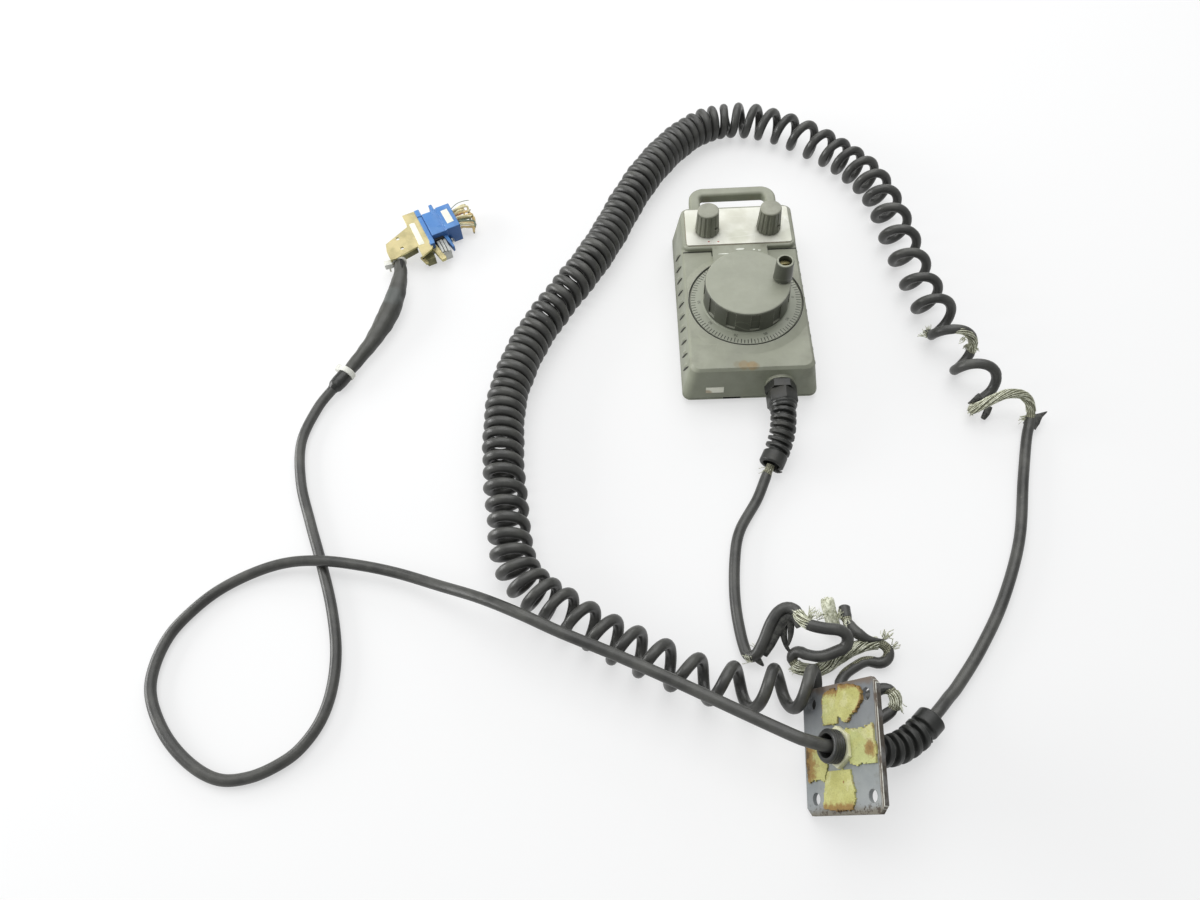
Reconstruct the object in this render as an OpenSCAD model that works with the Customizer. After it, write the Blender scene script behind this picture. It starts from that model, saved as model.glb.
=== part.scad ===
// Hand-held pulse generator: a machine-tool pendant with a graduated handwheel,
// two selector knobs and a carry handle, its curly lead, the panel plate that
// the lead passes through, and the tail lead with its multi-pin connector.
// The origin is on the rear face, on the handwheel's axis. +Y points to the
// carry handle, +X to the right as an operator reads the dial, +Z to the operator.

/* [Case] */
// Width of the front face
face_w = 84; // [80:1:92]
// Width where the two covers meet
base_w = 94; // [94:1:104]
// Height of the front face above the rear face
face_z = 34.3; // [33:0.1:40]
// Height of the joint between the covers
joint_z = 6; // [5:0.5:8]
// Distance from the handwheel's axis to the cable end of the face
cable_end = 59; // [57:1:70]
// Distance from the handwheel's axis to the handle end of the face
handle_end = 91.8; // [90:0.1:100]
// Wall thickness of the covers
wall = 2.6; // [2:0.1:3]
// Height of the raised panel above the face
panel_rise = 3.3; // [2:0.1:4]
// Where the raised panel starts, from the handwheel's axis
panel_start = 49.6; // [48:0.1:52]
// Half width of the neck between the panel and the dial
neck_half = 20; // [15:1:24]

/* [Carry handle] */
// Width over the handle
handle_w = 67; // [60:1:74]
// How far the handle stands out from the case
handle_reach = 29.7; // [26:0.1:36]
// Width of the handle's bar
bar_w = 8.5; // [7:0.5:10]
// Thickness of the handle's bar
bar_t = 9; // [7:0.5:10]
// Underside of the handle above the rear face
handle_z = 21; // [18:0.5:22]

/* [Grip ribs] */
// Ribs on each side
rib_count = 10; // [4:1:10]
// Distance between ribs
rib_pitch = 11.5; // [10:0.5:12]
// How far a rib stands out
rib_proud = 1.1; // [0.6:0.1:1.2]

/* [Handwheel] */
// Diameter of the wheel at its base
wheel_d = 60; // [56:1:62]
// Top of the wheel above the rear face
wheel_top = 55.6; // [53:0.1:58]
// Grip recesses round the wheel
recess_count = 11; // [8:1:14]
// Width of a grip recess
recess_w = 6.4; // [4:0.1:8]
// Diameter of the graduated dial ring
dial_d = 78.2; // [76:0.1:79]
// Width of the dark gap round the dial ring
dial_gap = 0.8; // [0.4:0.1:1]
// Encoder lines in one turn
pulses = 100; // [25:25:100]

/* [Finger knob] */
// Distance of the finger knob from the wheel's axis
crank_r = 24; // [22:0.1:24]
// Direction of the finger knob from +X
crank_angle = 5; // [0:1:360]
// Diameter at the foot of the knob
crank_d = 13.2; // [11:0.1:13.5]
// Length of the knob
crank_len = 16.4; // [14:0.1:20]

/* [Selector knobs] */
// Distance of each selector from the middle line
selector_x = 22.7; // [20:0.1:24]
// Distance of the selectors from the handle end of the face
selector_in = 24.5; // [22:0.1:26]
// Diameter at the foot of a selector knob
selector_d = 17.8; // [17:0.1:20]
// Diameter at the top of a selector knob
selector_top_d = 15.2; // [14:0.1:16]
// Height of a selector knob
selector_len = 19.6; // [17:0.1:22]
// Flutes round a selector knob
flute_count = 14; // [8:1:16]

/* [Cable entry] */
// Position of the cable gland across the case
gland_x = 19.5; // [15:0.5:20]
// Height of the gland's axis
gland_z = 18; // [16:0.5:19]
// Width across the flats of the gland's hexagons
gland_af = 19; // [17:0.5:20]
// Diameter of the gland's thread
gland_thread_d = 16; // [12:1:16]
// Diameter over the spiral boots
boot_d = 17.4; // [14:0.2:18]
// Diameter of the straight leads
lead_d = 7; // [6:0.1:7.5]

/* [Curly lead] */
// Outer diameter of the coil
coil_d = 29; // [26:0.5:30]

/* [Panel plate] */
// Width of the plate
plate_w = 63; // [60:1:66]
// Length of the plate
plate_l = 67; // [64:1:70]
// Thickness of the plate
plate_t = 2.5; // [2:0.1:3]
// Diameter of the four fixing holes
fixing_d = 6.6; // [4.5:0.1:7]
// Distance of the fixing holes from the plate's edges
fixing_in = 8.5; // [8:0.1:10]

/* [Tail connector] */
// Length of the connector across its row of pins
connector_w = 28; // [24:1:32]
// Depth of the socket half
socket_l = 11; // [9:0.5:14]
// Depth of the plug half
plug_l = 16; // [12:0.5:18]
// Height of each connector half
connector_h = 13; // [11:0.5:15]

/* [Hidden] */
$fn = 64;

eps = 0.01;
fit = 0.03;             // clearance of turned and pressed fits
run = 0.3;              // running gap between parts that move past each other

// Case
joint_gap = 0.5;        // the gasket's thickness
side_draft = (base_w - face_w) / 2;
end_draft = 3;          // how far the case ends lean out from face to joint
corner_r = 6;
edge_r = 2;             // rounding of the face's edges
panel_z = face_z + panel_rise;
ceiling_z = face_z - wall;
floor_z = wall;
chamfer = 4;            // lower edge of the rear cover
function lean(z) = (face_z - z) / (face_z - joint_z);
function half_w(z) = face_w / 2 + side_draft * lean(z);
function near_y(z) = -cable_end - end_draft * lean(z);
function far_y(z) = handle_end + end_draft * lean(z);
screw_posts = [for (x = [-1, 1], y = [near_y(face_z) + 11, handle_end - 9])
    [x * (face_w / 2 - 8), y]];
post_r = 4;
cover_screw_d = 3;
cover_screw_head_d = 5.6;
cover_screw_len = 14;
screw_seat_z = 2.2;     // depth of the screw head's counterbore

// Handle
bar_mid = bar_w / 2;
handle_corner = 11.5;   // outer radius of the handle's corners
handle_top_y = handle_end + handle_reach;

// Dial
dial_r = dial_d / 2;
dial_pocket_r = dial_r + dial_gap;
boss_rise = 2;
boss_r = dial_pocket_r + 8.5;
pocket_floor = face_z + 0.4;
dial_edge_z = pocket_floor + 0.3;
dial_edge_t = 1;
wheel_r = wheel_d / 2;
wheel_foot = pocket_floor + 2.6;
wheel_wall = 3.4;
wheel_top_t = 3;
recess_depth = 1.3;
recess_foot = wheel_foot + 2.2;
recess_top = wheel_top - 1.6;
first_recess = -84;
shaft_d = 6;
shaft_foot = 14.6;
shaft_top = wheel_top - wheel_top_t - 1.6;
hub_d = 13;
hub_foot = wheel_foot + 0.4;
hub_wall = 3;           // plastic round the hub

// Encoder
encoder_d = 52;
encoder_foot = 13;
encoder_cap_t = 2;
encoder_wall = 2.4;
nose_d = 15.6;
bearing_d = 13;
bearing_t = 5;
disc_d = 42;
disc_z = 17;
disc_t = 0.8;
encoder_screw_r = 21;
encoder_screw_d = 3;

// Finger knob
crank_top_d = crank_d - 1.3;
crank_foot = wheel_top + run;
crank_shank_d = 5;
crank_head_d = 8;
crank_cup_d = 9;
crank_cup_depth = 6.3;

// Selectors
legend_t = 0.7;
legend_top = panel_z + legend_t;
selector_y = handle_end - selector_in;
selector_foot = legend_top + 0.5;
selector_top = selector_foot + selector_len;
bushing_d = 9;
bushing_top = legend_top + 3.6;
switch_d = 25;
switch_h = 13;
nut_af = 11;
nut_t = 2.4;
knob_hollow_d = 13.6;
set_screw_z = 6;        // height of the set screw above the knob's foot

// Gland and boots
gland_y = near_y(joint_z) - 0.2;
gland_seat = near_y(face_z) + wall - gland_y + 0.2;  // the locknut's flat seat
gland_hex_t = 6;
gland_cap_t = 12;
boot_turns = 6;
spiral_start = 3;
spiral_len = 32;
collar_len = 9;
cap_y = gland_y - gland_hex_t - 0.3;
boot_y = cap_y - gland_cap_t;
label_w = 12.4;
label_h = 5.4;
label_x = 17 - face_w / 2;
slot_w = 12;            // parting slot between the covers

// Panel plate: its frame has X across the plate, Y along it, Z out of its front
plate_at = [6, -337.5, 0.8];
plate_turn = [14, -61.5, -16.1];
plate_mid = [plate_w / 2, plate_l / 2, 0];
entry_hex_t = 8;
entry_reach = 10;       // threaded end in front of the plate
locknut_t = 3;

// Tail connector: its frame has X from the bracket to the wires
connector_at = [-246, 108, 0];
connector_turn = 25;
socket_z = 2.5;
flange_t = 3.4;
bracket_t = 1.5;
bracket_z = socket_z + connector_h;
tab_l = 20;
tab_w = 26;

// Routes, in millimetres. Leads lie on the surface unless something lifts them.
gland_boot_route = [[gland_x, boot_y + 1.5, gland_z], [19, -88, 17], [17.5, -98, 14.6],
    [14, -108, 11], [8, -120, 8.8]];
pendant_lead_route = [[8, -120, 8.8], [4, -128, 6], [-3, -143, 3.6], [-16, -165, 3.6],
    [-21, -186, 3.6], [-23, -213, 3.6], [-21, -238, 3.6], [-17, -252, 4.5]];
worn_loops_route = [[-17, -252, 4.5], [-14, -249, 8], [-9.5, -242, 12], [-5, -233, 15.5],
    [0, -226.5, 18.5], [5.5, -224.5, 20.5], [10, -227.5, 22.5], [12, -232.5, 24],
    [16, -237, 25], [24, -239.5, 25], [33, -240.5, 24], [39, -243, 21.5],
    [38.5, -247.5, 18], [31, -250.5, 15.5], [22, -252.5, 13.5], [14, -250, 11],
    [8, -244.5, 7.5], [4.5, -249, 4.5], [9, -255, 3.8], [18, -257.5, 3.8],
    [27, -255.5, 4.2], [34, -251, 5.5], [42, -247, 7.5], [50, -244.5, 9], [59, -244, 9],
    [65, -247.5, 7.5], [66, -253, 5], [60, -255, 3.8], [51, -252.5, 3.8],
    [42, -256.5, 3.8], [36, -261, 4], [33, -267, 4], [37, -273, 4], [47, -274.5, 4],
    [55, -270, 5], [61.5, -268.5, 7], [64, -274, 8], [61, -281, 6], [54, -286, 4.2],
    [44, -290, 3.8], [33, -294, 3.8], [21, -290, 3.6], [17.5, -281, 3.6],
    [18, -273.6, 4.6], [19, -266, 11], [17, -261, 17], [9, -264, 22], [0, -271, 20]];
coil_route = [[0, -271, 14.6], [-23, -270, 14.6], [-48, -264, 14.6], [-74, -252, 14.6],
    [-99, -239, 14.6], [-124, -223, 14.6], [-143, -210, 14.6], [-156, -195, 14.6],
    [-162, -178, 14.6], [-165, -155, 14.6], [-169, -126, 14.6], [-171, -95, 14.6],
    [-170, -63, 14.6], [-163, -34, 14.6], [-152, -6, 14.6], [-134, 26, 14.6],
    [-113, 60, 14.6], [-97, 91, 14.6], [-83, 123, 14.6], [-66, 156, 14.6],
    [-45, 186, 14.6], [-22, 208, 14.6], [0, 217, 14.6], [25, 216, 14.6],
    [53, 203, 14.6], [77, 184, 14.6], [98, 162, 14.6], [113, 138, 14.6],
    [121, 110, 14.6], [125, 78, 14.6], [129, 47, 14.6], [134, 18, 14.6],
    [140, -6, 14.6], [147, -30, 14.6], [154, -52, 14.6], [160, -72, 14.6]];
plate_lead_route = [[158, -66, 14.6], [168, -65, 11], [180, -71, 7], [186, -84, 4.5],
    [180, -104, 3.6], [171, -134, 3.6], [158, -177, 3.6], [139, -216, 3.6],
    [119, -246, 3.6], [101, -268, 3.8], [93, -276, 5.5], [86, -283, 8.8]];
entry_out = plate_point(plate_mid + [0, 0, entry_reach]);
entry_in = plate_point(plate_mid - [0, 0, plate_t + entry_hex_t]);
plate_boot_route = [entry_in, [41, -308.6, 21.6], [50, -307.5, 17.2], [59, -304.5, 13.4],
    [68, -299, 10.8], [77, -291.5, 9.4], [86, -283, 8.8]];
tail_route = [entry_out, [-4, -303, 40], [-29, -289, 35], [-61, -272, 32.6],
    [-94, -256, 32.6], [-128, -241, 33.5], [-152, -229, 33], [-178, -215, 25],
    [-206, -202, 15], [-234, -191, 10.5], [-258, -185, 10.5], [-283, -181, 10.6],
    [-306, -180, 8], [-327, -184, 5], [-348, -194, 3.6], [-363, -207, 3.6],
    [-376, -225, 3.6], [-381, -246, 3.6], [-378, -265, 3.6], [-364, -287, 3.6],
    [-345, -304, 3.6], [-326, -313, 3.6], [-308, -312, 3.6], [-292, -305, 3.6],
    [-281, -296, 3.6], [-272, -281, 3.6], [-268, -262, 3.6], [-269, -238, 3.6],
    [-276, -210, 3.6], [-287, -180, 3.6], [-300, -148, 3.6], [-311, -118, 3.6],
    [-316, -86, 3.6], [-309, -58, 4], [-299, -42, 6]];
ferrule_route = [[-299, -42, 6], [-295, -36, 6.4], [-291, -30, 6.8]];
sleeve_route = [[-291, -30, 6.8], [-284, -18, 7.4], [-277, -5, 8.2], [-273, 8, 8.8],
    [-270, 20, 9.2], [-265, 32, 9.6], [-262, 44, 9.8], [-262, 56, 9.6], [-264, 67, 8.6],
    [-266, 76, 7.6]];

// Places a point of the plate's own frame in the part's frame
function turn_x(p, a) = [p.x, p.y * cos(a) - p.z * sin(a), p.y * sin(a) + p.z * cos(a)];
function turn_y(p, a) = [p.x * cos(a) + p.z * sin(a), p.y, p.z * cos(a) - p.x * sin(a)];
function turn_z(p, a) = [p.x * cos(a) - p.y * sin(a), p.x * sin(a) + p.y * cos(a), p.z];
function plate_point(p) =
    plate_at + turn_z(turn_y(turn_x(p, plate_turn.x), plate_turn.y), plate_turn.z);

// A smooth curve through the points of a route, with "steps" rings in each span
function at(p, i) = p[max(0, min(len(p) - 1, i))];
function blend(a, b, c, d, t) =
    0.5 * (2 * b + (c - a) * t + (2 * a - 5 * b + 4 * c - d) * t ^ 2
    + (3 * b - a - 3 * c + d) * t ^ 3);
function smooth(p, steps) = concat(
    [for (i = [0:len(p) - 2], k = [0:steps - 1])
        blend(at(p, i - 1), at(p, i), at(p, i + 1), at(p, i + 2), k / steps)],
    [p[len(p) - 1]]);
function unit(v) = v / norm(v);
function heading(p, i) = unit(at(p, i + 1) - at(p, i - 1));
function side_of(t) = unit(cross(t, [0, 0, 1]));
function travel(p, i) = i == 0 ? 0 : travel(p, i - 1) + norm(p[i] - p[i - 1]);

// One ring of a swept tube: radii holds one radius for each of its corners
function ring(c, t, radii) = let (s = side_of(t), u = cross(s, t), n = len(radii))
    [for (k = [0:n - 1]) c + radii[k] * (cos(360 * k / n) * s + sin(360 * k / n) * u)];

// Joins rings into a closed solid with flat ends
module skin(rings) {
    n = len(rings[0]);
    m = len(rings);
    walls = [for (i = [0:m - 2], k = [0:n - 1], half = [0, 1])
        let (j = (k + 1) % n, a = i * n, b = a + n)
        half == 0 ? [a + k, b + j, b + k] : [a + k, a + j, b + j]];
    start = [[for (k = [n - 1:-1:0]) k]];
    end = [[for (k = [0:n - 1]) (m - 1) * n + k]];
    polyhedron([for (r = rings, p = r) p], concat(walls, start, end), convexity = 8);
}

// A round tube of constant diameter along a route
module tube(route, d, steps = 1, sides = 10) {
    p = smooth(route, steps);
    skin([for (i = [0:len(p) - 1]) ring(p[i], heading(p, i), [for (k = [1:sides]) d / 2])]);
}

// A tube whose diameter follows a list of diameters, one for each point
module shaped_tube(route, diameters, sides = 12) {
    skin([for (i = [0:len(route) - 1])
        ring(route[i], heading(route, i), [for (k = [1:sides]) diameters[i] / 2])]);
}

// Strain-relief boot: a plain throat, a raised spiral and an end collar
function boot_radius(s, turn, total) =
    s > total - collar_len ? boot_d / 2 - 0.4
    : s > total - collar_len - 1.2 ? boot_d / 2 - 2.6
    : s < spiral_start ? boot_d / 2 - 1.2
    : boot_d / 2 - 1.2 + 1.2 * cos(360 * boot_turns * (s - spiral_start)
        / (total - collar_len - spiral_start) - turn);
module boot(route) {
    p = smooth(route, 8);
    total = travel(p, len(p) - 1);
    sides = 20;
    skin([for (i = [0:len(p) - 1]) let (s = travel(p, i)) ring(p[i], heading(p, i),
        [for (k = [0:sides - 1]) boot_radius(s, 360 * k / sides, total)])]);
}

// A rounded rectangle between two corners
module panel_2d(low, high, r) {
    translate([low.x, low.y + r]) square([high.x - low.x, high.y - low.y - 2 * r]);
    translate([low.x + r, low.y]) square([high.x - low.x - 2 * r, high.y - low.y]);
    for (x = [low.x + r, high.x - r], y = [low.y + r, high.y - r])
        translate([x, y]) circle(r, $fn = 32);
}
// A thin slice of the case at height z, smaller all round by "inset"
module slice(z, inset, r, from = undef) {
    low = [-half_w(z) + inset, (is_undef(from) ? near_y(z) : from) + inset];
    high = [half_w(z) - inset, far_y(z) - inset];
    translate([0, 0, z]) linear_extrude(eps) panel_2d(low, high, r);
}
// A cylinder, or a cone, from one point to another
module rod(p, q, r1, r2) {
    d = q - p;
    translate(p) rotate([0, acos(d.z / norm(d)), atan2(d.y, d.x)])
        cylinder(norm(d), r1, r2, $fn = 24);
}
module hexagon(af, t) cylinder(t, d = af / cos(30), $fn = 6);
module socket_screw(d, head_d, head_t, length) {
    translate([0, 0, -head_t]) difference() {
        cylinder(head_t, d = head_d);
        translate([0, 0, -eps]) hexagon(head_d / 2, head_t * 0.6);
    }
    translate([0, 0, -eps]) cylinder(length, d = d);
}

// ---- Case ----

module cover_form() {
    hull() {
        slice(joint_z, 0, corner_r);
        slice(face_z - edge_r, 0, corner_r);
        slice(face_z - eps, edge_r * 0.7, corner_r);
    }
    hull() {
        slice(face_z - edge_r - 1, 0.1, corner_r, panel_start);
        slice(panel_z - 0.8, 0.1, corner_r, panel_start);
        slice(panel_z - eps, 0.7, corner_r, panel_start);
    }
}
module dial_boss() {
    intersection() {
        translate([0, 0, face_z - 1]) cylinder(boss_rise + 1, boss_r + 1, dial_pocket_r + 0.6);
        translate([0, 0, face_z]) cube([face_w - 3, 2 * boss_r + 4, 2 * boss_rise + eps],
            center = true);
    }
}
module neck() {
    translate([-neck_half, dial_pocket_r - 8, face_z - 1])
        cube([2 * neck_half, panel_start + 6 - dial_pocket_r + 8, panel_rise + 1 - eps]);
}
module bar_2d() {
    translate([-bar_mid, 0]) panel_2d([0, 0], [bar_w, bar_t], 2.4);
}
module carry_handle() {
    corner = [handle_w / 2 - handle_corner, handle_top_y - handle_corner];
    foot = handle_end - 1;
    for (s = [-1, 1]) {
        translate([s * (handle_w / 2 - bar_mid), foot, handle_z + bar_t])
            rotate([-90, 0, 0]) linear_extrude(corner.y - foot) bar_2d();
        translate([s * corner.x, corner.y, handle_z]) rotate(s > 0 ? 0 : 90)
            rotate_extrude(angle = 90) translate([handle_corner - bar_mid, 0]) bar_2d();
    }
    translate([-corner.x, handle_top_y - bar_mid, handle_z]) rotate([90, 0, 90])
        linear_extrude(2 * corner.x) bar_2d();
}
// Slanting leaf-shaped ribs, thick in the middle and thin at their ends
module grip_ribs() {
    sink = 0.9;
    low = joint_z + 3.5;
    high = face_z - 5;
    mid = (low + high) / 2;
    first = -(rib_count - 1) / 2 * rib_pitch + 8;
    for (i = [0:rib_count - 1], s = [-1, 1]) {
        y = first + i * rib_pitch;
        middle = [s * (half_w(mid) - sink), y, mid];
        rod(middle, [s * (half_w(low) - sink), y + 4.5, low], sink + rib_proud, 0.5);
        rod(middle, [s * (half_w(high) - sink), y - 4.5, high], sink + rib_proud, 0.5);
    }
}
module case_hollow() {
    hull() {
        slice(joint_z - 1, wall, corner_r - 2);
        slice(ceiling_z - eps, wall, corner_r - 2);
    }
}
module screw_post(p, top) {
    translate([p.x, p.y, joint_z]) difference() {
        cylinder(top - joint_z, r = post_r);
        translate([0, 0, -eps]) cylinder(cover_screw_len - 2, d = cover_screw_d - 0.4);
    }
}
module front_cover() color("dimgray") {
    difference() {
        union() {
            cover_form();
            neck();
            dial_boss();
            carry_handle();
            grip_ribs();
        }
        case_hollow();
        translate([0, 0, pocket_floor]) cylinder(panel_rise + 1, r = dial_pocket_r);
        translate([0, 0, ceiling_z - 1]) cylinder(wall + 3, d = nose_d + 0.4);
        for (a = [30, 150, 270]) rotate(a) translate([encoder_screw_r, 0, ceiling_z - 1]) {
            cylinder(wall + 2, d = encoder_screw_d + 0.4);
            translate([0, 0, 2.4]) cylinder(2, d = 5.8);
        }
        for (s = [-1, 1]) translate([s * selector_x, selector_y, ceiling_z - 1])
            cylinder(wall + panel_rise + 2, d = bushing_d + 0.3);
        translate([gland_x, gland_y - 1, gland_z]) rotate([-90, 0, 0])
            cylinder(wall + 4, d = gland_thread_d + 0.3);
    }
    for (p = screw_posts) screw_post(p, ceiling_z + eps);
    translate([gland_x, gland_y, gland_z]) rotate([-90, 0, 0]) difference() {
        cylinder(gland_seat, r = gland_af / 2 + 0.6);
        translate([0, 0, -1]) cylinder(gland_seat + 2, d = gland_thread_d + 0.3);
    }
}
module rear_cover() color("dimgray") {
    top = joint_z - joint_gap;
    difference() {
        union() {
            translate([0, 0, chamfer]) linear_extrude(top - chamfer) rear_outline(0);
            hull() {
                slice_rear(chamfer, 0);
                slice_rear(0, chamfer);
            }
        }
        translate([0, 0, floor_z]) linear_extrude(joint_z) rear_outline(wall + 2);
        for (p = screw_posts) translate([p.x, p.y, -1]) {
            cylinder(joint_z + 1, d = cover_screw_d + 0.4);
            cylinder(screw_seat_z + 1, d = cover_screw_head_d + 0.4);
        }
        translate([label_x + label_w / 2, near_y(joint_z) - 1, top - 2.2]) cube([slot_w, 3.2, 3]);
    }
    for (p = screw_posts) translate([p.x, p.y, screw_seat_z]) difference() {
        cylinder(joint_z - screw_seat_z, r = post_r);
        translate([0, 0, -1]) cylinder(joint_z, d = cover_screw_d + 0.4);
    }
}
module rear_outline(inset) {
    low = [-base_w / 2 + inset, near_y(joint_z) + inset];
    high = [base_w / 2 - inset, far_y(joint_z) - inset];
    panel_2d(low, high, corner_r);
}
module slice_rear(z, inset) {
    translate([0, 0, z]) linear_extrude(eps) rear_outline(inset);
}
module cover_gasket() color([0.1, 0.1, 0.1]) {
    inset = 0.8;
    width = 1.6;
    low = [-base_w / 2 + inset, near_y(joint_z) + inset];
    high = [base_w / 2 - inset, far_y(joint_z) - inset];
    step = [width, width];
    translate([0, 0, joint_z - joint_gap]) linear_extrude(joint_gap) difference() {
        panel_2d(low, high, corner_r);
        panel_2d(low + step, high - step, corner_r - width);
    }
}
module cover_screws() color("silver") {
    for (p = screw_posts) translate([p.x, p.y, screw_seat_z])
        socket_screw(cover_screw_d - 0.4 - 2 * fit, cover_screw_head_d, 1.8, cover_screw_len);
}
module legend_plate() color([0.85, 0.85, 0.8]) {
    margin = 3.4;
    low = [-face_w / 2 + margin, panel_start + margin - 0.4];
    high = [face_w / 2 - margin, handle_end - margin + 0.5];
    translate([0, 0, panel_z]) linear_extrude(legend_t) difference() {
        panel_2d(low, high, 2);
        for (s = [-1, 1]) translate([s * selector_x, selector_y]) circle(d = bushing_d + 0.3);
    }
}
module end_label() color("white") {
    z = 14.2;
    y = near_y(z);
    lean_angle = atan2(end_draft, face_z - joint_z);
    translate([label_x, y, z]) rotate([90 - lean_angle, 0, 0])
        translate([-label_w / 2, -label_h / 2, 0.02]) cube([label_w, label_h, 0.3]);
}

// ---- Pulse encoder ----

module encoder_body() color([0.15, 0.15, 0.16]) {
    difference() {
        translate([0, 0, encoder_foot + encoder_cap_t])
            cylinder(ceiling_z - encoder_foot - encoder_cap_t, d = encoder_d);
        translate([0, 0, encoder_foot]) cylinder(ceiling_z - encoder_foot - encoder_wall,
            d = encoder_d - 2 * encoder_wall);
        cylinder(face_z, d = bearing_d);
        for (a = [30, 150, 270]) rotate(a)
            translate([encoder_screw_r, 0, ceiling_z - encoder_wall - 1])
            cylinder(encoder_wall + 2, d = encoder_screw_d - 0.4);
    }
    difference() {
        translate([0, 0, disc_z + 3.4]) cylinder(face_z - disc_z - 3.4, d = nose_d);
        translate([0, 0, disc_z]) cylinder(face_z, d = bearing_d);
    }
}
module encoder_rear_cap() color([0.15, 0.15, 0.16]) {
    translate([0, 0, encoder_foot]) cylinder(encoder_cap_t, d = encoder_d);
}
module encoder_screws() color("silver") {
    for (a = [30, 150, 270]) rotate(a)
        translate([encoder_screw_r, 0, ceiling_z + 1.5]) mirror([0, 0, 1])
        socket_screw(encoder_screw_d - 0.4 - 2 * fit, 5.2, 1, 1.5 + encoder_wall);
}
module encoder_bearings() color("silver") {
    for (z = [disc_z + 3.6, face_z - bearing_t - 0.4]) translate([0, 0, z])
        rotate_extrude() difference() {
            translate([shaft_d / 2 + fit, 0])
                square([(bearing_d - shaft_d) / 2 - 2 * fit, bearing_t]);
            for (k = [0, 1]) translate([(shaft_d + bearing_d) / 4, k * bearing_t])
                square([1.4, 1], center = true);
        }
}
module encoder_board() color("darkgreen") {
    translate([0, 0, encoder_foot + encoder_cap_t]) difference() {
        cylinder(1.4, d = encoder_d - 2 * encoder_wall - 1);
        translate([0, 0, -1]) cylinder(4, d = shaft_d + 2);
    }
    translate([disc_d / 2 - 3, -4, encoder_foot + encoder_cap_t + 1.4 - eps])
        cube([4, 8, disc_z - encoder_foot - encoder_cap_t - 1.4 - run]);
}
module terminal_block() color([0.1, 0.1, 0.1]) {
    translate([0, 0, encoder_foot - 6]) difference() {
        translate([-21, -5, 0]) cube([42, 10, 6]);
        for (i = [-2:2]) translate([i * 8, 0, -1]) cylinder(4, d = 5.4);
    }
}
module terminal_screws() color("silver") {
    for (i = [-2:2]) translate([i * 8, 0, encoder_foot - 4.4]) difference() {
        cylinder(1.4, d = 5);
        translate([-3, -0.4, -1]) cube([6, 0.8, 1.6]);
    }
}
module encoder_shaft() color("silver") {
    difference() {
        translate([0, 0, shaft_foot + 1]) cylinder(shaft_top - shaft_foot - 1, d = shaft_d);
        translate([0, shaft_d / 2, hub_foot + 5]) rotate([90, 0, 0])
            cylinder(0.6, d = 3.2);
    }
}
module code_disc() color([0.75, 0.75, 0.75]) {
    slot = 360 / pulses / 2;
    translate([0, 0, disc_z]) {
        linear_extrude(disc_t) difference() {
            circle(d = disc_d);
            circle(d = shaft_d + 2 * fit);
            for (i = [0:pulses - 1]) rotate(i * 2 * slot) polygon([
                [16, -16 * sin(slot / 2)], [19, -19 * sin(slot / 2)],
                [19, 19 * sin(slot / 2)], [16, 16 * sin(slot / 2)]]);
        }
        translate([0, 0, disc_t - eps]) difference() {
            cylinder(2, d = 10);
            translate([0, 0, -1]) cylinder(4, d = shaft_d + 2 * fit);
        }
    }
}

// ---- Handwheel ----

module dial_ring() color([0.35, 0.36, 0.34]) {
    inner = wheel_r - 3;
    slope_r = wheel_r + 0.6;
    rotate_extrude($fn = 128) polygon([[hub_d / 2 + 1, dial_edge_z],
        [dial_r - 0.4, dial_edge_z], [dial_r, dial_edge_z + 0.3],
        [dial_r, dial_edge_z + dial_edge_t - 0.2], [dial_r - 0.3, dial_edge_z + dial_edge_t],
        [slope_r, wheel_foot - 0.6], [slope_r - 0.3, wheel_foot], [inner, wheel_foot],
        [inner - 0.5, dial_edge_z + 1.2], [hub_d / 2 + 1, dial_edge_z + 1.2]]);
}
module handwheel() color([0.33, 0.34, 0.31]) {
    difference() {
        rotate_extrude($fn = 128) polygon([[0, wheel_foot + 1], [wheel_r - wheel_wall, wheel_foot],
            [wheel_r - 0.4, wheel_foot], [wheel_r, wheel_foot + 0.4],
            [wheel_r - 0.5, wheel_top - 1.1], [wheel_r - 0.9, wheel_top - 0.3],
            [wheel_r - 1.6, wheel_top], [0, wheel_top]]);
        difference() {
            translate([0, 0, wheel_foot - 1])
                cylinder(wheel_top - wheel_top_t - wheel_foot + 1, r = wheel_r - wheel_wall);
            translate([0, 0, wheel_foot]) cylinder(wheel_top, d = hub_d + 2 * hub_wall);
            for (a = [0:60:120]) rotate(a + 30) translate([0, 0, wheel_top])
                cube([wheel_d, 2, 2 * (wheel_top - wheel_foot - 4)], center = true);
            rotate(crank_angle) translate([crank_r, 0, wheel_foot + 6])
                cylinder(wheel_top, r = 4.2);
        }
        translate([0, 0, wheel_foot - 1])
            cylinder(wheel_top - wheel_top_t - wheel_foot + 1, d = hub_d + 2 * fit);
        for (i = [0:recess_count - 1])
            rotate(first_recess + i * 360 / recess_count)
            translate([wheel_r - recess_depth, -recess_w / 2, recess_foot])
            cube([5, recess_w, recess_top - recess_foot]);
        rotate(crank_angle) translate([crank_r, 0, wheel_foot + 6.5])
            cylinder(wheel_top, d = crank_shank_d - 1 + 2 * fit);
        translate([0, 0, hub_foot + 5]) rotate([-90, 0, 0])
            cylinder(hub_d / 2 + hub_wall + 1, d = 4);
    }
}
module wheel_hub() color("goldenrod") {
    top = wheel_top - wheel_top_t - fit;
    difference() {
        translate([0, 0, hub_foot]) cylinder(top - hub_foot, d = hub_d);
        translate([0, 0, hub_foot - 1]) cylinder(shaft_top - hub_foot + 1 + fit,
            d = shaft_d + 2 * fit);
        translate([0, 0, hub_foot + 5]) rotate([-90, 0, 0]) cylinder(hub_d, d = 4);
    }
}
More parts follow.
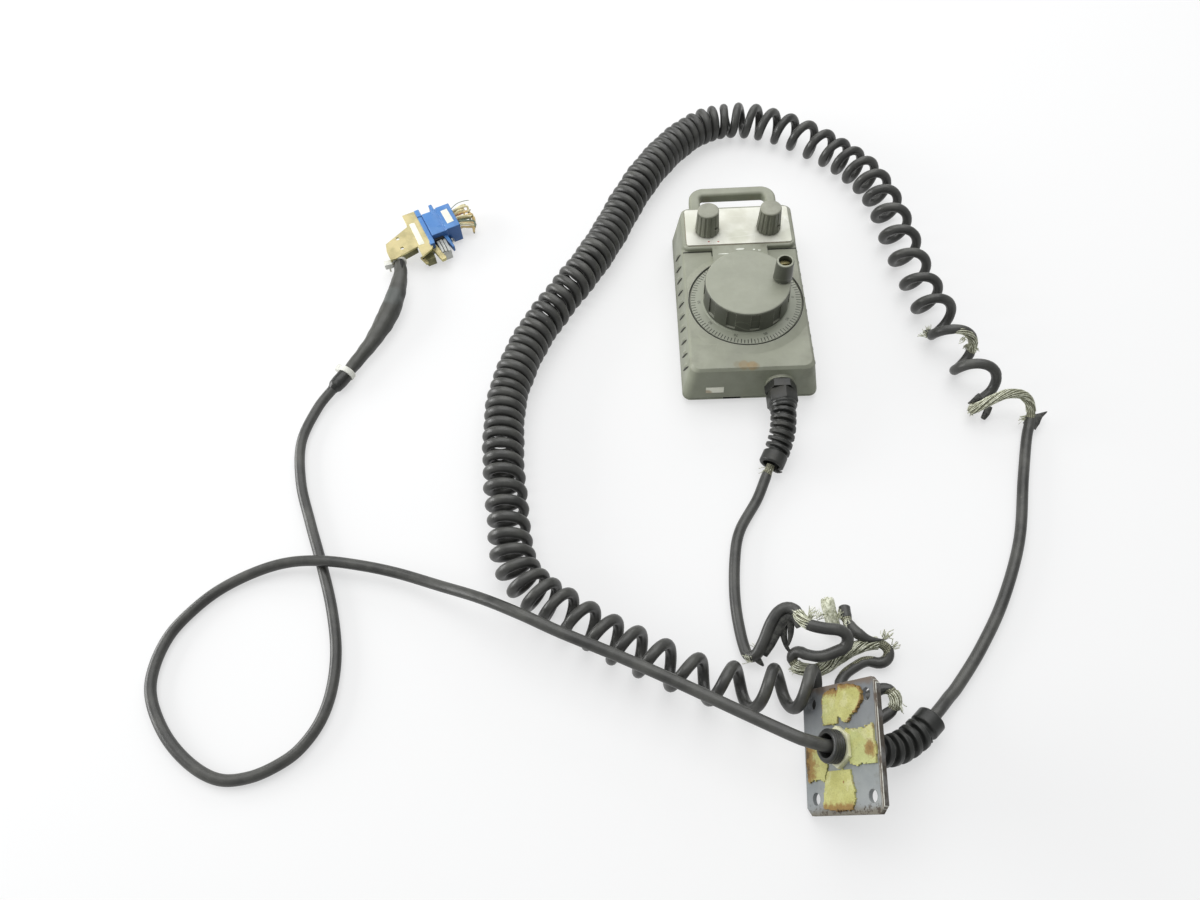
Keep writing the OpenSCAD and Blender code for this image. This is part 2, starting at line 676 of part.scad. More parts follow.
module hub_set_screw() color([0.2, 0.2, 0.2]) {
    translate([0, shaft_d / 2 + fit, hub_foot + 5]) rotate([-90, 0, 0]) difference() {
        cylinder((hub_d - shaft_d) / 2 - 0.3, d = 4 - 2 * fit);
        translate([0, 0, 1.4]) hexagon(1.8, 4);
    }
}
module crank_screw() color("goldenrod") {
    seat = crank_foot + crank_len - crank_cup_depth;
    rotate(crank_angle) translate([crank_r, 0, 0]) {
        translate([0, 0, wheel_foot + 7]) cylinder(wheel_top - wheel_foot - 7 + eps,
            d = crank_shank_d - 1);
        translate([0, 0, wheel_top]) cylinder(seat + run - wheel_top + eps, d = crank_shank_d);
        translate([0, 0, seat + run]) difference() {
            cylinder(2.2, d = crank_head_d);
            translate([-5, -0.6, 1.1]) cube([10, 1.2, 2]);
        }
    }
}
module finger_knob() color([0.33, 0.34, 0.31]) {
    top = crank_len;
    rotate(crank_angle) translate([crank_r, 0, crank_foot]) difference() {
        rotate_extrude() polygon([[0, 0], [crank_d / 2 - 0.6, 0], [crank_d / 2, 0.6],
            [crank_d / 2 - 0.1, 2], [crank_top_d / 2, top - 0.9],
            [crank_top_d / 2 - 0.3, top - 0.25], [crank_top_d / 2 - 0.9, top], [0, top]]);
        translate([0, 0, -1]) cylinder(top + 2, d = crank_shank_d + 0.1);
        translate([0, 0, top - crank_cup_depth]) cylinder(top, d = crank_cup_d);
    }
}

// ---- Selector switches ----

module switch_body(s) color([0.12, 0.12, 0.13]) {
    translate([s * selector_x, selector_y, 0]) difference() {
        union() {
            translate([0, 0, ceiling_z - switch_h]) cylinder(switch_h, d = switch_d);
            translate([-6, -switch_d / 2 - 1.5, ceiling_z - switch_h]) cube([12, switch_d + 3, 3]);
            translate([0, 0, ceiling_z - eps]) cylinder(bushing_top - ceiling_z, d = bushing_d);
        }
        translate([0, 0, ceiling_z - 4]) cylinder(20, d = shaft_d + 0.1);
    }
}
module switch_nut(s) color("silver") {
    translate([s * selector_x, selector_y, legend_top]) difference() {
        hexagon(nut_af, nut_t);
        translate([0, 0, -1]) cylinder(5, d = bushing_d + 2 * fit);
    }
}
module selector_shaft(s) color("silver") {
    translate([s * selector_x, selector_y, ceiling_z - 4 + run])
        cylinder(selector_top - 3 - ceiling_z + 4 - run, d = shaft_d);
}
module selector_knob(s) color([0.25, 0.25, 0.23]) {
    slope = atan2((selector_d - selector_top_d) / 2, selector_len);
    translate([s * selector_x, selector_y, selector_foot]) difference() {
        rotate_extrude() polygon([[0, 0], [selector_d / 2 - 0.3, 0], [selector_d / 2, 0.3],
            [selector_top_d / 2 + 0.1, selector_len - 0.6],
            [selector_top_d / 2 - 0.6, selector_len], [0, selector_len]]);
        for (i = [0:flute_count - 1]) rotate(i * 360 / flute_count)
            translate([selector_d / 2 + 0.55, 0, -0.5]) rotate([0, -slope, 0])
            cylinder(selector_len - 1, r = 1.1, $fn = 24);
        translate([0, 0, -1]) cylinder(nut_t + 3.4, d = knob_hollow_d);
        translate([0, 0, -1]) cylinder(selector_len - 3 + 1 + fit, d = shaft_d + 2 * fit);
        rotate(-41) translate([0, 0, set_screw_z]) rotate([0, 90, 0])
            cylinder(selector_d, d = 3);
    }
}
module knob_set_screw(s) color([0.2, 0.2, 0.2]) {
    translate([s * selector_x, selector_y, selector_foot + set_screw_z]) rotate(-41)
        rotate([0, 90, 0]) translate([0, 0, shaft_d / 2 + fit]) difference() {
            cylinder(3.6, d = 3 - 2 * fit);
            translate([0, 0, 2.2]) hexagon(1.5, 3);
        }
}

// ---- Cable entry ----

module hex_along_y(af, t, turn = 0) rotate([90, 0, 0]) rotate(turn) hexagon(af, t);
module gland_body() color([0.08, 0.08, 0.08]) {
    translate([gland_x, gland_y - 0.3, gland_z]) {
        hex_along_y(gland_af, gland_hex_t);
        rotate([-90, 0, 0]) translate([0, 0, -eps])
            cylinder(wall + 9, d = gland_thread_d - 2 * fit);
    }
}
module gland_locknut() color([0.08, 0.08, 0.08]) {
    translate([gland_x, gland_y + gland_seat + 4.6, gland_z]) difference() {
        hex_along_y(gland_af + 1, 4.6, 30);
        rotate([90, 0, 0]) translate([0, 0, -1]) cylinder(8, d = gland_thread_d);
    }
}
module gland_seal() color([0.1, 0.1, 0.1]) {
    translate([gland_x, gland_y, gland_z]) rotate([90, 0, 0]) difference() {
        cylinder(0.3, d = gland_af - 0.6);
        translate([0, 0, -1]) cylinder(3, d = gland_thread_d);
    }
}
module gland_boot() color([0.06, 0.06, 0.06]) {
    translate([gland_x, cap_y, gland_z]) hex_along_y(gland_af, gland_cap_t - 2);
    translate([gland_x, cap_y - gland_cap_t + 2 + eps, gland_z]) rotate([90, 0, 0])
        cylinder(2 + eps, d1 = gland_af - 0.5, d2 = boot_d - 2);
    boot(gland_boot_route);
}

// ---- Leads ----

module pendant_lead() color([0.07, 0.07, 0.07]) tube(pendant_lead_route, lead_d);
module worn_loops() color([0.07, 0.07, 0.07]) tube(worn_loops_route, lead_d, 1, 8);
module curly_lead() color([0.07, 0.07, 0.07]) tube(coil_route, coil_d, 1, 12);
module plate_lead() color([0.07, 0.07, 0.07]) tube(plate_lead_route, lead_d);
module tail_lead() color([0.07, 0.07, 0.07]) tube(tail_route, lead_d);
module tail_ferrule() color([0.06, 0.06, 0.06]) shaped_tube(ferrule_route, [10, 11, 10.4]);
module wire_sleeve() color([0.09, 0.09, 0.09])
    shaped_tube(sleeve_route, [8.6, 9.6, 10.8, 11.6, 13.4, 16, 17.2, 15.2, 11.6, 8.8]);
module cable_ties() color("white") {
    tie([-290.4, -29, 6.9], unit([7, 12, 0.5]), 9.4);
    tie([-265.3, 73, 8.1], unit([-2, 9, -1]), 10.8);
}
// A band round a bundle with its square head
module tie(at, along, d) {
    translate(at) rotate([0, acos(along.z), atan2(along.y, along.x)]) {
        difference() {
            cylinder(3, d = d + 2.4, center = true);
            cylinder(4, d = d, center = true);
        }
        translate([-d / 2 - 4, -2.4, -2]) cube([3.4, 4.8, 4]);
    }
}

// ---- Panel plate ----

module on_plate() translate(plate_at) rotate(plate_turn) children();
module panel_plate() color([0.36, 0.38, 0.42]) on_plate() {
    c = 4;
    translate([0, 0, -plate_t]) linear_extrude(plate_t) difference() {
        polygon([[c, 0], [plate_w - c, 0], [plate_w, c], [plate_w, plate_l - c],
            [plate_w - c, plate_l], [c, plate_l], [0, plate_l - c], [0, c]]);
        for (x = [fixing_in, plate_w - fixing_in], y = [fixing_in, plate_l - fixing_in])
            translate([x, y]) circle(d = fixing_d);
        translate([plate_mid.x, plate_mid.y]) circle(d = gland_thread_d + 0.3);
    }
}
module plate_gland_body() color([0.08, 0.08, 0.08]) on_plate() translate(plate_mid) {
    translate([0, 0, -plate_t - entry_hex_t]) hexagon(gland_af, entry_hex_t);
    translate([0, 0, -plate_t - eps]) cylinder(plate_t + entry_reach, d = gland_thread_d - 2 * fit);
}
module plate_locknut() color([0.85, 0.83, 0.72]) on_plate() translate(plate_mid) difference() {
    rotate(30) hexagon(gland_af, locknut_t);
    translate([0, 0, -1]) cylinder(locknut_t + 2, d = gland_thread_d);
}
// Four patches left of a foam gasket, one towards each edge
module plate_gaskets() color([0.72, 0.68, 0.35]) on_plate() {
    t = 0.9;
    translate([13, plate_l - 21.6, 0]) cube([24, 19.6, t]);
    translate([plate_w - 20, 24, 0]) cube([16, 22, t]);
    translate([20, 3, 0]) cube([19, 18.6, t]);
    translate([3, 20, 0]) cube([14, 20, t]);
}
module plate_boot() color([0.06, 0.06, 0.06]) boot(plate_boot_route);

// ---- Tail connector ----

module at_connector() translate(connector_at) rotate(connector_turn) children();
module connector_bracket() color([0.78, 0.7, 0.42]) at_connector() {
    foot = bracket_z - bracket_t;
    difference() {
        union() {
            translate([-11, -38, foot]) cube([11, 57, bracket_t]);
            translate([-11 - tab_l, -20, foot]) cube([tab_l + eps, tab_w, bracket_t]);
            translate([-bracket_t, -22, socket_z]) cube([bracket_t, 40, connector_h]);
            translate([-eps, -38, foot]) cube([6, 3.6, bracket_t]);
        }
        for (y = [-14.2, -2.7]) translate([-22.4, y, foot - 1]) cylinder(4, d = 3.4);
        translate([-11 - tab_l, tab_w - 20, foot - 1]) rotate(45)
            cube([12, 12, 8], center = true);
    }
    translate([-11 - tab_l, -20, 0.4]) cube([bracket_t, 8, foot - 0.4 + eps]);
    translate([-11, 19 - bracket_t, 0.4]) cube([8, bracket_t, foot - 0.4 + eps]);
}
module connector_half(length, width, ears) {
    translate([0, -width / 2, socket_z]) cube([length, width, connector_h]);
    translate([0, ears[0], socket_z + 1])
        cube([flange_t, ears[1] - ears[0], connector_h - 2]);
}
module connector_socket() color([0.1, 0.3, 0.65]) at_connector()
    connector_half(socket_l, connector_w, [-23, 19]);
module connector_plug() color([0.1, 0.3, 0.65]) at_connector() translate([socket_l, 0, 0])
    connector_half(plug_l, connector_w - 1.5, [-34, 21]);
// The block that locks the two halves together, and its screw
module connector_hardware() color("silver") at_connector() {
    translate([flange_t + 0.8, -33, socket_z + 1.5]) cube([socket_l - flange_t - 0.8, 15.5, 7]);
    translate([flange_t + 4.2, -25, socket_z + 8.4]) cylinder(1.8, d = 5.4, $fn = 32);
}
module wire_tails() color([0.8, 0.72, 0.5]) at_connector()
    translate([socket_l + plug_l, 0, 0]) hull() {
        translate([0, -11, socket_z + 2]) cube([0.5, 22, 8]);
        translate([9, 8, 6]) sphere(5, $fn = 16);
        translate([11, -9, 5]) sphere(4, $fn = 16);
    }

front_cover();
rear_cover();
cover_gasket();
cover_screws();
legend_plate();
encoder_body();
encoder_screws();
encoder_bearings();
encoder_rear_cap();
encoder_board();
terminal_block();
terminal_screws();
encoder_shaft();
code_disc();
wheel_hub();
hub_set_screw();
dial_ring();
handwheel();
crank_screw();
finger_knob();
switch_body(-1);  // left_switch
switch_nut(-1);  // left_switch_nut
selector_shaft(-1);  // left_selector_shaft
selector_knob(-1);  // left_selector_knob
knob_set_screw(-1);  // left_set_screw
switch_body(1);  // right_switch
switch_nut(1);  // right_switch_nut
selector_shaft(1);  // right_selector_shaft
selector_knob(1);  // right_selector_knob
knob_set_screw(1);  // right_set_screw
gland_body();
gland_locknut();
gland_seal();
gland_boot();
end_label();
pendant_lead();
worn_loops();
curly_lead();
plate_lead();
plate_boot();
plate_gland_body();
plate_locknut();
panel_plate();
plate_gaskets();
tail_lead();
tail_ferrule();
wire_sleeve();
cable_ties();
connector_bracket();
connector_socket();
connector_plug();
connector_hardware();
wire_tails();
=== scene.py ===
"""Looks of the pulse generator handwheel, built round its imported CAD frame.

Routes and sizes below are in millimetres, in the part's own frame, and are
turned into metres where a mesh is made.
"""
import math
import random

import bmesh
import bpy
from mathutils.geometry import tessellate_polygon
from mathutils import Matrix, Vector, noise


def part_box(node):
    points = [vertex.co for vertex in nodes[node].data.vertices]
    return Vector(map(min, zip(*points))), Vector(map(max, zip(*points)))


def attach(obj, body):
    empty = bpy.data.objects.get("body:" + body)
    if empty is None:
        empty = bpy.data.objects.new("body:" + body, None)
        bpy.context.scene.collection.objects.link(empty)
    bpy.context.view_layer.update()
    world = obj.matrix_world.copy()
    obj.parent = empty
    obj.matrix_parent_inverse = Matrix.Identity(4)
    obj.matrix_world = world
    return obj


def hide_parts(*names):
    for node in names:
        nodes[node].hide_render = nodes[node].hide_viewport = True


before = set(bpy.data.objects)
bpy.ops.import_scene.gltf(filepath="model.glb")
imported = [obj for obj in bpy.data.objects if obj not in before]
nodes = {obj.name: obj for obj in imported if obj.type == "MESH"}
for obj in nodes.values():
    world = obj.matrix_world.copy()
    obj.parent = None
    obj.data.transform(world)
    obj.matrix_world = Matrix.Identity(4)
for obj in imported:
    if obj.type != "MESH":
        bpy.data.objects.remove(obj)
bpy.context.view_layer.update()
scene = bpy.context.scene
MM = 0.001
SHARP = math.radians(32)
random.seed(7)


def shown(name, data):
    """A new object in the scene."""
    piece = bpy.data.objects.new(name, data)
    scene.collection.objects.link(piece)
    return piece


# ---------------------------------------------------------------- camera

CAMERA_AT = Vector((-80.26, -421.84, 529.84)) * MM
CAMERA_RIGHT = Vector((0.99858, -0.00727, -0.05279))
CAMERA_UP = Vector((0.03368, 0.85369, 0.51970))
CAMERA_FORWARD = Vector((-0.04129, 0.52074, -0.85272))


def make_camera():
    data = bpy.data.cameras.new("camera")
    data.lens = 27
    data.sensor_width = 36
    data.clip_end = 20
    camera = shown("camera", data)
    turn = Matrix((CAMERA_RIGHT, CAMERA_UP, -CAMERA_FORWARD)).transposed()
    camera.matrix_world = Matrix.Translation(CAMERA_AT) @ turn.to_4x4()
    scene.camera = camera


make_camera()

# ---------------------------------------------------------------- curves and meshes


def clamp(x):
    """x held between 0 and 1."""
    return min(1, max(0, x))


def around(points, i):
    """The four points that shape the curve from point i to the next."""
    return points[max(i - 1, 0)], points[i], points[i + 1], points[min(i + 2, len(points) - 1)]


def cubic(a, b, c, d, t):
    """The point at share t of the smooth curve from b to c."""
    return 0.5 * (2 * b + (c - a) * t + (2 * a - 5 * b + 4 * c - d) * t * t
                  + (3 * b - a - 3 * c + d) * t ** 3)


def between(values, share, ease=False):
    """The value at a share of the way through a list."""
    x = share * (len(values) - 1)
    j = min(int(x), len(values) - 2)
    t = x - j
    if ease:
        t = t * t * (3 - 2 * t)
    return values[j] + (values[j + 1] - values[j]) * t


def spline(points, step=1.5):
    """A smooth curve through the points, sampled about every step."""
    pts = [Vector(p) for p in points]
    out = []
    for i in range(len(pts) - 1):
        a, b, c, d = around(pts, i)
        n = max(1, round((c - b).length / step))
        out += [cubic(a, b, c, d, k / n) for k in range(n)]
    out.append(pts[-1])
    return out


def monotone(knots):
    """A smooth rising function through (x, y) knots."""
    n = len(knots)
    slope = [(knots[i + 1][1] - knots[i][1]) / (knots[i + 1][0] - knots[i][0])
             for i in range(n - 1)]
    tangent = [slope[0]] + [2 * a * b / (a + b) for a, b in zip(slope, slope[1:])] + [slope[-1]]

    def value(x):
        i = 0
        while i < n - 2 and x > knots[i + 1][0]:
            i += 1
        h = knots[i + 1][0] - knots[i][0]
        t = (x - knots[i][0]) / h
        if not 0 <= t <= 1:
            end = 0 if t < 0 else 1
            return knots[i + end][1] + (t - end) * h * tangent[i + end]
        return ((1 + 2 * t) * (1 - t) ** 2 * knots[i][1] + t * t * (3 - 2 * t) * knots[i + 1][1]
                + h * (t * (1 - t) ** 2 * tangent[i] - t * t * (1 - t) * tangent[i + 1]))

    return value


def frames_along(path):
    """Tangent and two normals at each point, without twist."""
    n = len(path)
    tangents = [(path[min(i + 1, n - 1)] - path[max(i - 1, 0)]).normalized() for i in range(n)]
    side = tangents[0].cross(Vector((0, 0, 1)))
    if side.length < 0.1:
        side = tangents[0].cross(Vector((0, 1, 0)))
    side.normalize()
    out = []
    for t in tangents:
        side = (side - t * side.dot(t)).normalized()
        out.append((t, side, side.cross(t)))
    return out


def mesh_piece(name, verts, faces, material, smooth=True, place=None):
    """A mesh object from corners in millimetres."""
    mesh = bpy.data.meshes.new(name)
    if place is not None:
        verts = [place @ Vector(v) for v in verts]
    mesh.from_pydata([Vector(v) * MM for v in verts], [], faces)
    work = bmesh.new()
    work.from_mesh(mesh)
    bmesh.ops.recalc_face_normals(work, faces=work.faces)
    work.to_mesh(mesh)
    work.free()
    mesh.polygons.foreach_set("use_smooth", [smooth] * len(mesh.polygons))
    mesh.materials.append(material)
    return shown(name, mesh)


def attribute(piece, name, values, kind="FLOAT", field="value"):
    """Gives each corner of a piece a value that its material reads."""
    piece.data.attributes.new(name, kind, "POINT").data.foreach_set(field, values)


def band(low, high, sides):
    """The faces between two rings of corners, from their first numbers."""
    return [(low + k, low + (k + 1) % sides, high + (k + 1) % sides, high + k)
            for k in range(sides)]


def tube_data(path, radius, sides, cap=0.3):
    """Corners, faces, and (distance, cos, sin) at each corner of a tube."""
    verts, faces, along = [], [], []
    axes = frames_along(path)
    travel = 0
    n = len(path)
    for i, (p, (t, s, u)) in enumerate(zip(path, axes)):
        if i:
            travel += (p - path[i - 1]).length
        for k in range(sides):
            a = math.tau * k / sides
            c, w = math.cos(a), math.sin(a)
            r = radius(travel, a, i) if callable(radius) else radius
            verts.append(p + r * (c * s + w * u))
            along.append((travel, c, w))
        if i:
            faces += band((i - 1) * sides, i * sides, sides)
    for i, end in ((0, -1), (n - 1, 1)):
        ring = list(range(i * sides, (i + 1) * sides))
        middle = path[i]
        inner = len(verts)
        for k in ring:
            verts.append(middle + (verts[k] - middle) * 0.75 + axes[i][0] * cap * end)
            along.append(along[k])
        centre = len(verts)
        verts.append(middle + axes[i][0] * cap * end)
        along.append(along[ring[0]])
        for k in range(sides):
            j = (k + 1) % sides
            outer = (ring[k], ring[j], inner + j, inner + k)
            fan = (inner + k, inner + j, centre)
            faces.append(outer if end > 0 else outer[::-1])
            faces.append(fan if end > 0 else fan[::-1])
    return verts, faces, along


def tube(name, path, radius, material, sides=12, bare=None, cap=0.3):
    """A swept tube. bare(point) is how far its jacket is worn away there."""
    verts, faces, along = tube_data(path, radius, sides, cap)
    worn = []
    if bare:
        for k, v in enumerate(verts):
            i = min(k // sides, len(path) - 1)
            middle = path[-1] if k >= (len(path) + 1) * sides + 1 else path[i]
            amount = bare(v, middle)
            worn.append(amount)
            verts[k] = v + (middle - v) * min(0.9, 0.75 * amount / LEAD_R)
    piece = mesh_piece(name, verts, faces, material)
    attribute(piece, "along", [x for a in along for x in a], "FLOAT_VECTOR", "vector")
    if bare:
        attribute(piece, "worn", worn)
    return piece


def lathe(name, profile, material, segments=96, place=None):
    """A turned form from (radius, height) points, closed where the radius is 0."""
    verts, faces = [], []
    for r, z in profile:
        for k in range(segments):
            a = math.tau * k / segments
            verts.append((r * math.cos(a), r * math.sin(a), z))
    for i in range(len(profile) - 1):
        faces += band(i * segments, (i + 1) * segments, segments)
    return mesh_piece(name, verts, faces, material, place=place)


def bevelled(piece, width, segments=3, angle=35):
    """Rounds a piece's sharp edges for good."""
    change = piece.modifiers.new("bevel", "BEVEL")
    change.width = width * MM
    change.segments = segments
    change.limit_method = "ANGLE"
    change.angle_limit = math.radians(angle)
    change.harden_normals = False
    graph = bpy.context.evaluated_depsgraph_get()
    mesh = bpy.data.meshes.new_from_object(piece.evaluated_get(graph))
    piece.modifiers.clear()
    piece.data = mesh
    mesh.polygons.foreach_set("use_smooth", [True] * len(mesh.polygons))
    mesh.set_sharp_from_angle(angle=SHARP)
    return piece


def prism(name, outline, low, high, material, place=None, bevel=0.0):
    """An outline pushed up from one height to another."""
    n = len(outline)
    verts = [(x, y, low) for x, y in outline] + [(x, y, high) for x, y in outline]
    faces = [tuple(range(n - 1, -1, -1)), tuple(range(n, 2 * n))] + band(0, n, n)
    piece = mesh_piece(name, verts, faces, material, smooth=False, place=place)
    return bevelled(piece, bevel) if bevel else piece


def rectangle(x0, y0, x1, y1):
    return [(x0, y0), (x1, y0), (x1, y1), (x0, y1)]


def hexagon(across, turn=0):
    r = across / math.sqrt(3)
    return [(r * math.cos(a), r * math.sin(a))
            for a in (math.radians(turn + 60 * i) for i in range(6))]


def facing(at, direction, turn=0):
    """Places a piece so that its z axis points along a direction."""
    aim = Vector(direction).to_track_quat("Z", "Y").to_matrix().to_4x4()
    return Matrix.Translation(at) @ aim @ Matrix.Rotation(math.radians(turn), 4, "Z")


def stack(name, stations, material, sides=64):
    """A skin over rings: each is (middle, side, up, radius or radius(angle))."""
    verts, faces = [], []
    for middle, side, up, radius in stations:
        for k in range(sides):
            a = math.tau * k / sides
            r = radius(a) if callable(radius) else radius
            verts.append(middle + r * (math.cos(a) * side + math.sin(a) * up))
    last = len(stations) - 1
    for i in range(last):
        faces += band(i * sides, (i + 1) * sides, sides)
    for i in (0, last):
        centre = len(verts)
        verts.append(stations[i][0])
        for k in range(sides):
            fan = (centre, i * sides + (k + 1) % sides, i * sides + k)
            faces.append(fan if i == 0 else fan[::-1])
    return mesh_piece(name, verts, faces, material)


def bundle(name, wires, material, sides=5):
    """One piece from many thin wires, each (path, radius)."""
    verts, faces = [], []
    for path, radius in wires:
        path = [Vector((p.x, p.y, max(p.z, radius + 0.1))) for p in path]
        start = len(verts)
        more, rings, _ = tube_data(path, radius, sides, 0.05)
        verts += more
        faces += [tuple(start + v for v in face) for face in rings]
    return mesh_piece(name, verts, faces, material)


def loose():
    return Vector([random.uniform(-1, 1) for _ in range(3)])


def sprig(at, heading, count, length, spread, wire=0.22):
    """Loose wires fanning out from a point."""
    at, heading = Vector(at), Vector(heading).normalized()
    wires = []
    for _ in range(count):
        reach = length * random.uniform(0.5, 1)
        aim = (heading + spread * loose()).normalized() * reach
        curl = spread * reach * 0.35 * loose()
        start = at + 1.1 * loose()
        wires.append((spline([start, start + 0.5 * aim + curl, start + aim + 0.4 * curl], 1),
                      wire * random.uniform(0.8, 1.3)))
    return wires


def nearest(path, point, first=0):
    point = Vector(point)
    return min(range(first, len(path)), key=lambda i: (path[i] - point).length)


def screen(path, count=15, radius=3.0, wire=0.4, lay=70):
    """The strands of a bared screen, laid round a stretch of the lead."""
    axes = frames_along(path)
    wires = []
    for k in range(count):
        travel, line = 0, []
        drift = random.uniform(0, 100)
        for i, (p, (_, side, up)) in enumerate(zip(path, axes)):
            if i:
                travel += (p - path[i - 1]).length
            wander = noise.noise((travel / 9, drift, 0))
            a = math.tau * (k / count + travel / lay) + 0.35 * wander
            r = radius + 0.35 * noise.noise((travel / 6, drift, 5))
            line.append(p + r * (math.cos(a) * side + math.sin(a) * up))
        wires.append((line, wire * random.uniform(0.75, 1.15)))
    return wires


def flap(name, route, widths, thick, material):
    """A thin tapered strip of torn jacket."""
    path = spline(route, 0.8)
    n = len(path) - 1

    def radius(s, a, i):
        w = between(widths, i / n)
        return w * thick / math.hypot(thick * math.cos(a), w * math.sin(a))

    verts, faces, _ = tube_data(path, radius, 16, 0.1)
    return mesh_piece(name, verts, faces, material)


def ragged_pad(name, outline, thick, material, brown, cell=0.7):
    """A torn pad on the plate, from an outline in the plate's own x and y.

    brown(x, y, edge) is its stain, where edge is the distance from its rim.
    """
    def inside(x, y):
        hit = False
        for (ax, ay), (bx, by) in zip(outline, outline[1:] + outline[:1]):
            if (ay > y) != (by > y) and x < (bx - ax) * (y - ay) / (by - ay) + ax:
                hit = not hit
        return hit

    def edge_distance(x, y):
        best = 99
        for (ax, ay), (bx, by) in zip(outline, outline[1:] + outline[:1]):
            dx, dy = bx - ax, by - ay
            t = clamp(((x - ax) * dx + (y - ay) * dy) / (dx * dx + dy * dy))
            best = min(best, math.hypot(x - ax - t * dx, y - ay - t * dy))
        return best

    low = [min(p[i] for p in outline) - 1 for i in (0, 1)]
    high = [max(p[i] for p in outline) + 1 for i in (0, 1)]
    across = int((high[0] - low[0]) / cell)
    along = int((high[1] - low[1]) / cell)
    kept = set()
    for i in range(across):
        for j in range(along):
            x, y = low[0] + (i + 0.5) * cell, low[1] + (j + 0.5) * cell
            x += 0.9 * noise.noise((x / 1.7, y / 1.7, 3))
            y += 0.9 * noise.noise((x / 1.7, y / 1.7, 8))
            if inside(x, y):
                kept.add((i, j))
    corners = sorted({(i + a, j + b) for i, j in kept for a in (0, 1) for b in (0, 1)})
    number = {corner: k for k, corner in enumerate(corners)}
    count = len(corners)
    verts, stain = [], []
    for level in (0, 1):
        for i, j in corners:
            x, y = low[0] + i * cell, low[1] + j * cell
            lump = 0.35 * noise.noise((x / 4, y / 4, 1)) + 0.2 * noise.noise((x / 1.3, y / 1.3, 2))
            z = 0.01 if level == 0 else thick + lump
            verts.append((x, y, z))
            stain.append(brown(x, y, edge_distance(x, y)))
    faces = []
    for i, j in kept:
        ring = [number[c] for c in ((i, j), (i + 1, j), (i + 1, j + 1), (i, j + 1))]
        faces.append(tuple(ring[::-1]))
        faces.append(tuple(v + count for v in ring))
        for (di, dj), a, b in (((0, -1), 0, 1), ((1, 0), 1, 2), ((0, 1), 2, 3), ((-1, 0), 3, 0)):
            if (i + di, j + dj) not in kept:
                faces.append((ring[a], ring[b], ring[b] + count, ring[a] + count))
    piece = mesh_piece(name, verts, faces, material, place=PLATE)
    attribute(piece, "stain", stain)
    return piece


def joined(name, pieces):
    """One piece from several, keeping their materials."""
    verts, faces, slots, picks, smooth, stain = [], [], [], [], [], []
    for piece in pieces:
        mesh = piece.data
        start = len(verts)
        verts += [v.co.copy() for v in mesh.vertices]
        kept = mesh.attributes.get("stain")
        stain += [d.value for d in kept.data] if kept else [0.0] * len(mesh.vertices)
        for face in mesh.polygons:
            faces.append(tuple(start + v for v in face.vertices))
            material = mesh.materials[face.material_index]
            if material not in slots:
                slots.append(material)
            picks.append(slots.index(material))
            smooth.append(face.use_smooth)
        bpy.data.objects.remove(piece)
    mesh = bpy.data.meshes.new(name)
    mesh.from_pydata(verts, [], faces)
    for material in slots:
        mesh.materials.append(material)
    mesh.polygons.foreach_set("material_index", picks)
    mesh.polygons.foreach_set("use_smooth", smooth)
    mesh.set_sharp_from_angle(angle=SHARP)
    piece = shown(name, mesh)
    attribute(piece, "stain", stain)
    return piece


# ---------------------------------------------------------------- materials


def add_node(tree, kind, inputs=None, **settings):
    """A shader node; an input is another node's output or a plain value."""
    node = tree.nodes.new("ShaderNode" + kind)
    for key, value in settings.items():
        setattr(node, key, value)
    for key, value in (inputs or {}).items():
        if isinstance(value, bpy.types.NodeSocket):
            tree.links.new(value, node.inputs[key])
        else:
            node.inputs[key].default_value = value
    return node


